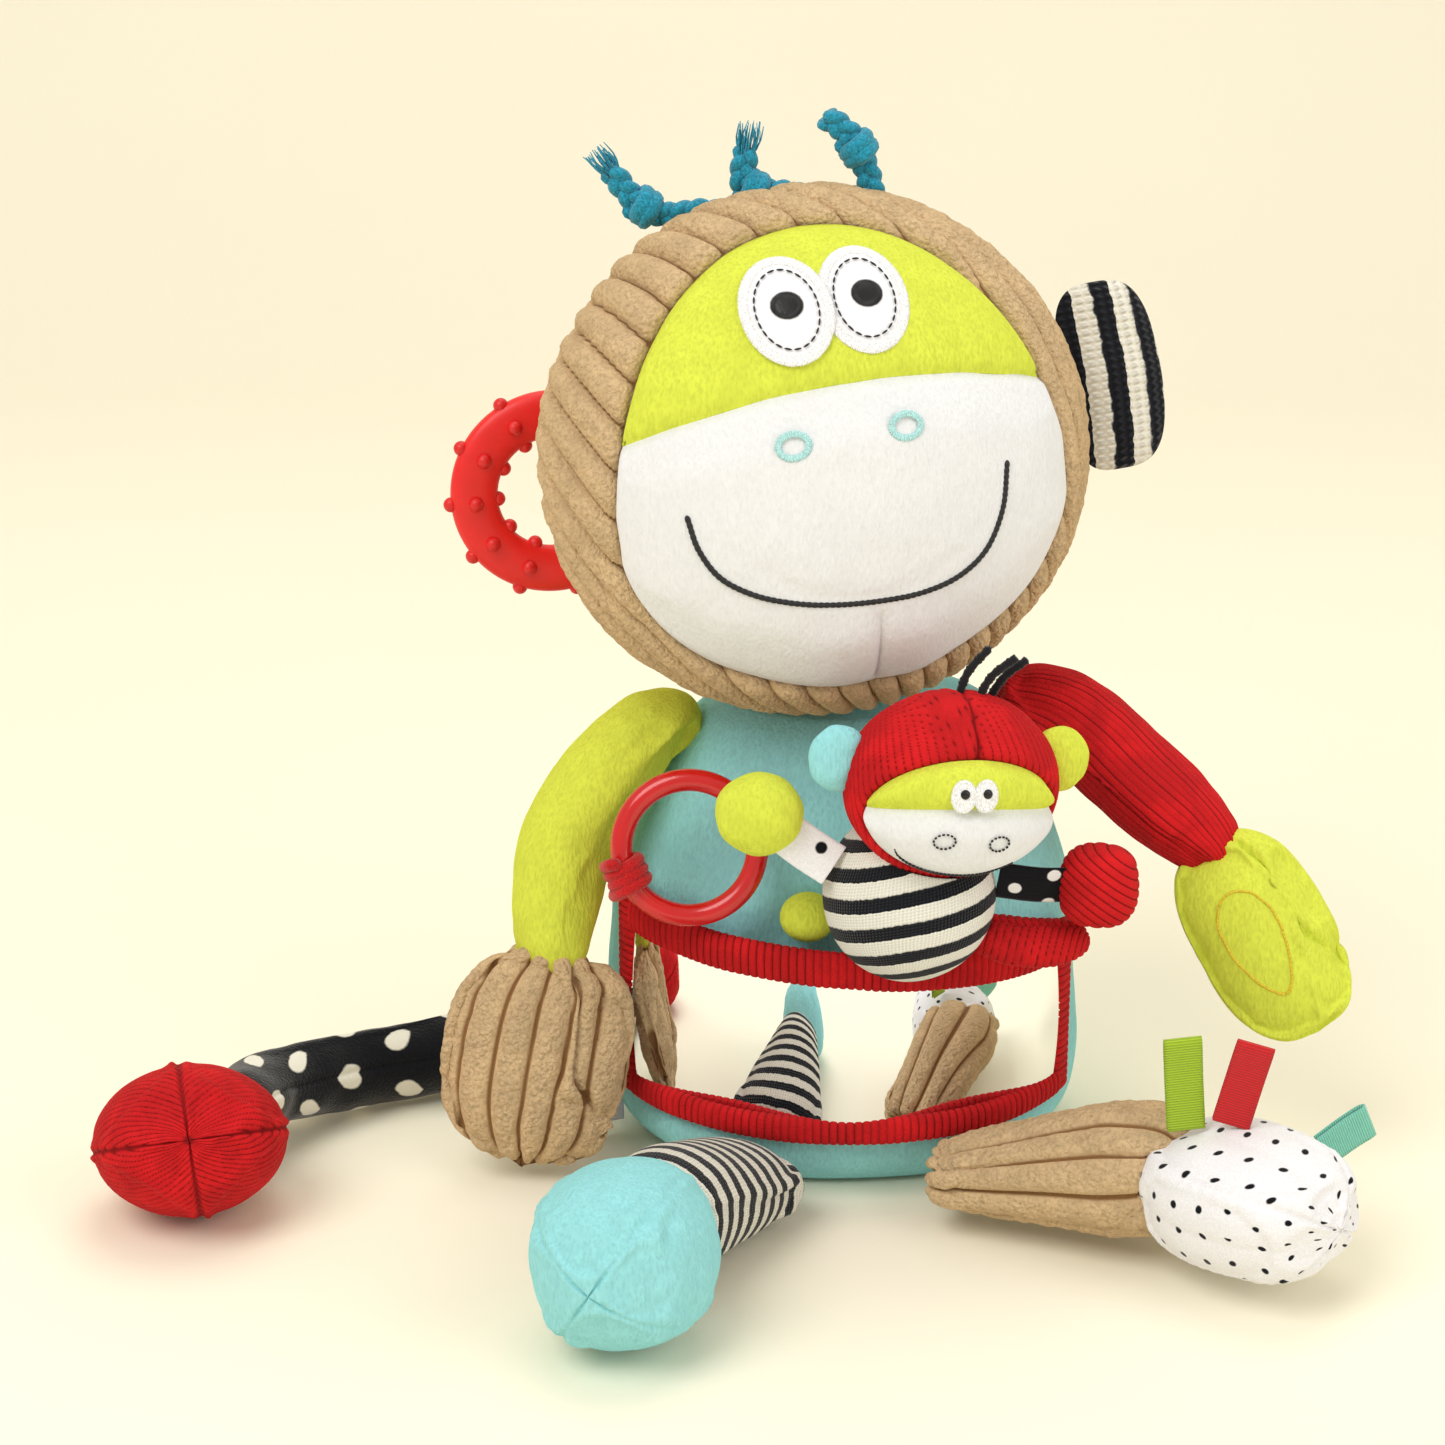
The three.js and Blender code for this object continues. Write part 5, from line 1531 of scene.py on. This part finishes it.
# %% Mittens
def mitten(name, body, wrist, tip, half, thumb, stands_for, finish, ribs=0.0):
    wrist, tip = np.array(wrist, float), np.array(tip, float)
    heel = wrist - 6 * unit(tip - wrist)
    made = stuffed([heel, wrist * 0.5 + tip * 0.5, tip], steady(half[0] - 2, half[1] - 3), (1, 0, 0), 2.6,
                   34, 48)
    rows, around = made.grid()
    across = np.sin(around * 2 * np.pi)
    seam_line = np.maximum(dent(np.abs(across) - 1, 0.03), dent(rows, 0.05))
    thumb_line = dent(across - thumb + 0.25 * ease(rows, 0.45, 0.68), 0.07) * ease(-rows, -0.7, -0.6)
    made = inflate(name, made, np.clip(seam_line + 0.9 * thumb_line, 0, 1), 5.0, 0.015, 3.0)
    made = made.finer(190 if ribs else 150, 260 if ribs else 160)
    rows, around = made.grid()
    across = np.sin(around * 2 * np.pi)
    notch = dent(rows - 0.66, 0.05) * ease(across * np.sign(thumb), 0.55, 1.0)
    bend = thumb + 0.35 * np.sign(thumb) * ease(rows, 0.5, 0.66)
    groove = dent(across - bend, 0.06) * ease(-rows, -0.67, -0.6) * ease(rows, 0.1, 0.2)
    made.push(-3.0 * groove - (4.5 if ribs else 2.4) * notch - 1.2 * dent(np.abs(across) - 1, 0.004))
    made.push(0.7 * lumps(made.points, 15))
    if ribs:
        squeeze = 0.5 + 0.5 * np.sqrt(np.clip(1 - (2 * rows - 1) ** 2, 0, 1))
        fade = ease(rows, 0.01, 0.05) * ease(-rows, -0.985, -0.95) * (1 - 0.8 * groove)
        ribbed(made, half[0] * across * squeeze + 0.12 * half[0] * np.sin(3 * rows), ribs, 3.6, fade, 0.9,
               0.5)
    done = piece(name, made, finish, body, stands_for)
    return made


mitten("right_mitten", "right_arm", RIGHT_WRIST, RIGHT_TIP, (36, 20), 0.42, ["right_mitten"], tan_chenille,
       13.5)
palm = mitten("left_mitten", "left_arm", LEFT_WRIST, LEFT_TIP, (27, 19), 0.5, ["left_mitten"], lime_plush)

rows, around = palm.grid()
nrm = palm.normals()
a = np.linspace(0, 2 * np.pi, 80, endpoint=False)
at_row = 0.50 + 0.17 * np.sin(a)
across = -0.22 + 0.40 * np.cos(a) * (1 - 0.25 * np.sin(a))
columns = palm.points.shape[1]
col = np.round(np.arcsin(np.clip(across, -1, 1)) / (2 * np.pi) * columns).astype(int) % columns
row = np.round(at_row * (palm.points.shape[0] - 1)).astype(int)
line = palm.points[row, col] + nrm[row, col] * 0.2
line = (np.roll(line, 1, 0) + line * 2 + np.roll(line, -1, 0)) / 4
closed = np.vstack([line[-1:], line, line[:1]])
outline_mesh = stitch_mesh("palm", line, unit(np.gradient(closed, axis=0))[1:-1], gold_thread, 1.5, 1.9,
                           1.0, 0.1, 8, True)
piece("left_palm_stitches", outline_mesh, gold_thread, "left_arm")
print("mittens made")


# %% Legs
def leg(name, hip, ankle, toe, hip_half, ankle_half, finish, stands_for, ribs=0.0):
    hip, ankle, toe = (np.array(p, float) for p in (hip, ankle, toe))
    root = hip - unit(ankle - hip) * hip_half[0] * 0.8

    def size(u):
        k = np.minimum(1, 1.5 * u)
        pinch = 1 - 0.12 * ease(u, 0.86, 0.98)
        return ((hip_half[0] * (1 - k) + ankle_half[0] * k) * pinch,
                (hip_half[1] * (1 - k) + ankle_half[1] * k) * pinch)

    made = stuffed([root, hip, ankle, ankle * 0.84 + toe * 0.16], size, (0, 0, 1), 5, 34, 44)
    rows, around = made.grid()
    made = inflate(name, made, np.maximum(dent(rows, 0.1), dent(rows - 1, 0.09)), 3.0, 0.02, 2.5)
    made = made.finer(150, 264 if ribs else 120)
    rows, around = made.grid()
    made.push(0.7 * lumps(made.points, 24))
    if ribs:
        fade = ease(rows, 0.01, 0.06) * ease(-rows, -0.99, -0.95)
        ribbed(made, around * 10 * ribs, ribs, 3.6, fade, 0.9, 0.5)
    u, _ = made.default_cloth()
    made.cloth = (u, np.repeat(made.run().mean(1, keepdims=True), u.shape[1], 1))
    above_floor(made)
    done = piece(name, made, finish, None, stands_for)
    towards = unit(ankle - hip)
    tuple((hip - 4 * towards) * MM)
    tuple((hip + 22 * towards) * MM)
    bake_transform(done)


leg("right_leg", (-42, -94, 17), RIGHT_ANKLE, RIGHT_TOE, (17, 27), (24, 26), fine_knit,
    ["right_leg_cover", "right_leg_filling"])
leg("left_leg", (40, -92, 20), LEFT_ANKLE, LEFT_TOE, (12, 18), (24, 26), tan_chenille,
    ["left_leg_cover", "left_leg_filling"], 14.0)


# %% Gored ends
def gored(name, body, heel_from, tip, half, square, finish, stands_for, twist,
          side=(0, 0, 1), back=5.0, wales=0.0, corner=0.045, depth=1.3):
    """A ball or foot of four gores whose seams cross at its tip."""
    start, tip = np.array(heel_from, float), np.array(tip, float)
    heel = start - back * unit(tip - start)
    made = stuffed([heel, (heel + tip) / 2, tip], steady(half[0] - 2.5, half[1] - 2.5), side, square, 34, 48)
    rows, around = made.grid()
    gap = np.abs((around * 4 + twist) % 1 - 0.5)
    sewn = np.clip(dent(gap, 0.1) * ease(rows, 0.25, 0.45) + dent(rows, 0.08), 0, 1)
    made = inflate(name, made, sewn, 5.0, 0.008, 1.6, 6.0)
    made = made.finer(200 if wales else 150, 280 if wales else 168)
    rows, around = made.grid()
    gap = np.abs((around * 4 + twist) % 1 - 0.5)
    slope = np.sin(np.pi * np.clip(rows, 0, 1))
    fullness = np.sqrt(np.clip(1 - np.abs(2 * rows - 1) ** 2.2, 0.0004, 1))
    girth = 2 * np.pi * (half[0] + half[1]) / 2 * fullness / 4
    seam_mm = gap * girth
    fold = dent(seam_mm, 1.5) * ease(rows, 0.3, 0.5)
    pucker = 0.15 * np.sin(rows * 150) * dent(seam_mm - 2.5, 2.5) * ease(rows, 0.3, 0.5)
    made.push(half[0] * corner * (1 - 8 * gap**2) * slope - depth * fold + pucker
              + 0.4 * lumps(made.points, 15))
    if wales:
        gore = np.floor((around * 4 + twist + 0.5) % 4).astype(int)
        lengthwise = ((around * 4 + twist + 0.5) % 1 - 0.5) * girth
        crosswise = made.run() * 0.9
        mixed = np.where(gore % 2 == 0, lengthwise * 0.75 + crosswise * 0.65,
                         crosswise * 0.75 - lengthwise * 0.65)
        ribbed(made, mixed, wales, 0.4, (1 - 0.8 * fold) * ease(-rows, -0.995, -0.97), 0.95)
    above_floor(made)
    done = piece(name, made, finish, body, stands_for)


gored("right_foot", "right_leg", RIGHT_ANKLE, RIGHT_TOE, (35, 35), 2.05, aqua_plush, ["right_foot"], 0.144,
      corner=0.015, depth=1.0)
gored("left_foot", "left_leg", LEFT_ANKLE, LEFT_TOE, (27, 36), 2.3, dotted_jersey, ["left_foot"], 0.1)
gored("tail_bulb", "tail", (-240, -59, 16.5), (-229.7, -120, 45.2), (31, 38), 2.1,
      red_corduroy, ["tail_bulb"], 0.55, wales=WALE, corner=0.0, depth=1.1)
print("gored ends made")

# %% Tail
tail = stuffed([(-12, 92, 26), (-70, 74, 18), (-144, 22, 17), (-188, 0, 18), (-214, -28, 22), (-221, -52, 27),
                (-225, -62, 28)], steady(14.2, 14.2), (0, 0, 1), 9, 90, 40)
rows, around = tail.grid()
TAIL_ROWS, TAIL_COLUMNS = 330, 96
DOTS_ROUND, DOT_SPACING = 4, 22.5
sewn = np.maximum(dent(rows, 0.04), dent(rows - 1, 0.05))
tail = inflate("dotted_tail", tail, sewn, 3.0, 0.07, 1.8).finer(TAIL_ROWS, TAIL_COLUMNS)
rows, around = tail.grid()
seam_at = 0.45
tail.push(0.8 * lumps(tail.points, 12) - 1.2 * dent((around - seam_at + 0.5) % 1 - 0.5, 0.015))
u = np.tile(np.linspace(0, DOTS_ROUND * DOT_SPACING, TAIL_COLUMNS + 1), (TAIL_ROWS, 1))
run = tail.run()
tail.cloth = (u, np.concatenate([run, run[:, :1]], 1))
above_floor(tail)
done = piece("dotted_tail", tail, dotted_velvet, None, ["dotted_tail", "tail_filling"])
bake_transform(done)


# %% Ribbon loops
def ribbon(name, foot, lean, height, yaw, finish):
    """A flat loop of ribbon that stands out of a seam."""
    frame = Matrix.Translation(foot) @ turn(yaw, "Z") @ turn(lean, "Y") @ turn(90, "Z")
    fold = 0.8
    path = smooth_line([(-fold, 0, -4), (-fold, 0, height * 0.5), (-fold, 0, height - 2.4),
                        (0, 0, height - 0.8), (fold, 0, height - 2.4), (fold, 0, height * 0.5),
                        (fold, 0, -4)], 70)
    bend = 1.2 * np.sin(path[:, 2] / height * 2.2)
    across = np.linspace(-6.5, 6.5, 9)
    points = path[:, None] + np.stack([np.zeros(9), across, np.zeros(9)], 1)[None]
    points[..., 0] += bend[:, None]
    made = Panel(placed(frame, points), False)
    run = made.run()
    made.cloth = (np.tile(across, (70, 1)), run)
    done = piece(name, made, finish, "left_leg", [name], 0.45)


ribbon("lime_ribbon_loop", (113, -128, 57.5), -4, 30, 6, grosgrain("lime_ribbon", paint(172, 206, 40)))
ribbon("red_ribbon_loop", (129, -131, 60.5), 14, 27, -8, grosgrain("red_ribbon", paint(216, 26, 30)))
ribbon("mint_ribbon_loop", (163, -128, 47), 66, 18, 20, grosgrain("mint_ribbon", paint(136, 218, 196)))
print("limbs made")

# %% [markdown]
# ## The small monkey
# The baby is made the same way at a smaller scale. Its cap is fine red corduroy, its face is two
# panels of plush, its body is striped knit, and its arms are flat tapes with stuffed hands. It sits
# in the pouch and lifts out.

# %% Cap and face
BABY_WIDE, BABY_RISE, BABY_DROP, BABY_MID = 33.6, 19.6, 24.2, -6.4
around = np.linspace(0, 2 * np.pi, 360, endpoint=False)
outline = unit(face_edge(around, BABY, BABY_WIDE, BABY_RISE, BABY_DROP, BABY_MID))
poles = np.tile(np.array([0.0, 1.0, 0.0]), (len(outline), 1))
ball = between(outline, poles, 150)
cap = skin_panel(ball, BABY, -0.3)
near, _ = seam_distance(cap)
p, q = map_from(ball, -1, 33)
cap.push(-1.6 * dent(near, 2.0) - 1.2 * dent(p - 1, 1.3) + 0.4 * lumps(cap.points, 14))
ribbed(cap, p * math.cos(0.2) + q * math.sin(0.2), WALE, 0.7,
       ease(near, 0.2, 2) * ease(np.abs(p - 1), 0.2, 1.5), 0.95)
set_in_place(cap, baby_frame)
piece("baby_cap", cap, red_corduroy, "baby_head", ["baby_cap"], 0.5)

top, bottom = arch(BABY_WIDE, BABY_MID, BABY_RISE), arch(BABY_WIDE, BABY_MID, -BABY_DROP)


def baby_brow(x):
    return -3.6 - 2.5 * (x / 33) ** 2


small = face_panel(BABY, baby_brow, lambda x: np.maximum(top(x), baby_brow(x)), 33.3, 36, 90, 1.2, 7)
set_in_place(small, baby_frame)
piece("baby_forehead", small, lime_plush, "baby_head", ["baby_forehead"], 1.0)
small = face_panel(BABY, bottom, baby_brow, 33.4, 36, 90, 2.4, 9)
set_in_place(small, baby_frame)
piece("baby_muzzle", small, white_plush, "baby_head", ["baby_muzzle"], 1.0)

# %% Baby's embroidery
white, dark = [], []
for x, z in ((-5.0, 1.6), (2.4, 1.8)):
    white.append(pad_oval(BABY, baby_frame, (x, z), (4.0, 5.2), 2.1, 0.7, 8, 40).mesh("eye"))
    white.append(ring_of(BABY, baby_frame, (x, z), (3.5, 4.7), 2.5, "rim", white_thread, 0.4, 1.7, 0.5))
    dark.append(pad_oval(BABY, baby_frame, (x + 0.3, z + 0.8), (1.5, 1.5), 2.9, 0.6, 6, 24).mesh("dot"))
for centre in ((-9.5, -12.6), (8.5, -13.4)):
    dark.append(ring_of(BABY, baby_frame, centre, (3.3, 2.4), 3.9, "nose", black_thread, 1.5, 1.2, 0.8,
                        across=False))
line = smooth_line([(-24, 0, -13.5), (-21.5, 0, -19), (-15, 0, -23), (-5, 0, -25.2), (6, 0, -25),
                    (16, 0, -21.5)], 60)
line, out = on_ball(BABY, line[:, 0], line[:, 2], np.full(60, 2.9))
m = np.array(baby_frame)[:3, :3]
dark.append(stitch_mesh("smile", placed(baby_frame, line), running(line) @ m.T, black_thread, 1.4, 1.7, 0.9))
piece("baby_eye_patches", joined("white", white), white_thread, "baby_head")
piece("baby_face_stitches", joined("dark", dark), black_satin, "baby_head")


# %% Baby's ears, body, hands and feet
def ball_grid(centre, half, rows, cols, frame=None):
    """A ball of latitude rows, top to bottom."""
    t = np.linspace(0, np.pi, rows)[:, None]
    a = np.arange(cols) / cols * 2 * np.pi
    points = np.stack([np.sin(t) * np.cos(a), np.sin(t) * np.sin(a), np.cos(t) + 0 * a], -1) * np.array(half)
    points = placed(frame, points + centre) if frame else points + centre
    return Panel(points, True)


for name, way, finish in (("baby_right_ear", -1, aqua_plush), ("baby_left_ear", 1, lime_plush)):
    pad = ball_grid((way * 39.5, 3, 8), (10.5, 4.6, 11.5), 60, 80, baby_frame)
    pad.push(0.5 * lumps(pad.points, 6))
    piece(name, pad, finish, "baby_head", [name])

trunk = ball_grid((19, -96, 127), (30, 23.5, 31), 90, 120)
trunk.push(0.8 * lumps(trunk.points, 18))
local = placed(baby_frame.inverted(), trunk.points)
deep = np.linalg.norm(local / (BABY + 0.5), axis=2)
trunk.points = placed(baby_frame, local + np.maximum(0, 1 - deep)[..., None] * unit(local) * (BABY + 0.5))
run = trunk.run()
bow = 3.0 * np.cos(2 * np.pi * np.arange(121) / 120 + 1.2)
u, _ = trunk.default_cloth()
trunk.cloth = (u, np.concatenate([run, run[:, :1]], 1) + bow)
piece("baby_body", trunk, baby_knit, "baby", ["baby_body", "baby_filling"])

foot = ball_grid((-15, -66.5, 107), (10, 8.5, 9), 50, 70)
piece("baby_right_foot", foot, lime_plush, "baby", ["baby_right_foot"])
foot = stuffed([(40, -92, 112), (60, -93, 108), (82, -90, 108)], steady(8.4, 9.4), (0, 0, 1), 2.6, 130, 150)
rows, around = foot.grid()
foot.push(0.4 * lumps(foot.points, 9) - 0.8 * dent((around + 0.05) % 1 - 0.25, 0.02))
ribbed(foot, foot.run(), 2.7, 0.6, ease(rows, 0, 0.05) * ease(-rows, -1, -0.95), 0.95)
piece("baby_left_foot", foot, red_corduroy, "baby", ["baby_left_foot"])

HAND = 14.0
hand = ball_grid((-33, -106, 160), (HAND + 1, 11.5, HAND + 0.5), 90, 120)
hand.push(0.6 * lumps(hand.points, 8))
piece("baby_right_hand", hand, lime_plush, "baby_right_arm", ["baby_right_hand"])
hand = stuffed([(84, -98, 117), (84, -98, 131), (84, -98, 145)], steady(13.5, 10.5), (1, 0, 0), 3, 150, 190)
hand.push(0.6 * lumps(hand.points, 10))
ribbed(hand, hand.points[..., 2] * 0.8 + hand.points[..., 0] * 0.6, 2.8, 0.7, 1, 0.95)
piece("baby_left_hand", hand, red_corduroy, "baby_left_arm", ["baby_left_hand"])


# %% Tape arms
def tape(name, body, shoulder, hand, finish, sag):
    shoulder, hand = np.array(shoulder, float), np.array(hand, float)
    reach = hand - shoulder
    way = unit(reach)
    stop = hand - way * HAND * 0.7
    middle = (shoulder + stop) / 2 + np.array([0, 0, -sag])
    path = smooth_line([shoulder - way * 3, middle, stop], 50)
    facing = unit(np.cross(way, [0, 1.0, 0]))
    wide = unit(np.cross(way, facing) * 0.35 + facing * 0.94)
    across = np.linspace(-7.5, 7.5, 15)
    points = path[:, None] + wide * across[:, None]
    cup = np.cross(way, wide) * (0.6 * np.cos(across / 7.5 * 1.4))[:, None]
    made = Panel(points + cup, False, path[25] + np.array([0, 30, 0]))
    done = piece(name, made, finish, body, [name], 0.9)


dotted_white = dotted("white_dotted_ribbon", paint(238, 237, 240), INK, 0.0145, 0.0019, 0.0, 0.3)
dotted_black = dotted("black_dotted_ribbon", INK, paint(236, 236, 238), 0.0125, 0.0021, 0.0, 0.1)
tape("baby_right_arm", "baby_right_arm", (-10, -106, 143), (-33, -106, 160), dotted_white, 0.5)
tape("baby_left_arm", "baby_left_arm", (52, -100, 134), (84, -98, 131), dotted_black, 0.8)
print("baby made")

# %% [markdown]
# ## Pieces inside
# The squeaker and the rattle stay as packed, sealed inside a mitten and a foot, and get a plain
# plastic finish. The number of triangles in all the new pieces is printed at the end.

# %% Inner parts
noise_maker = plastic("noise_maker_plastic", paint(240, 240, 236), 0.35)
for inner in ("squeaker", "rattle_ball"):
    node = frame["nodes"][inner]
    for slot in node.material_slots:
        slot.material = noise_maker
    if not node.material_slots:
        node.data.materials.append(noise_maker)

# %% Size
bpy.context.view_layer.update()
triangles = sum(len(p.vertices) - 2 for o in PIECES.values() for p in o.data.polygons)
print("pieces:", len(PIECES), "triangles before finishing:", triangles)
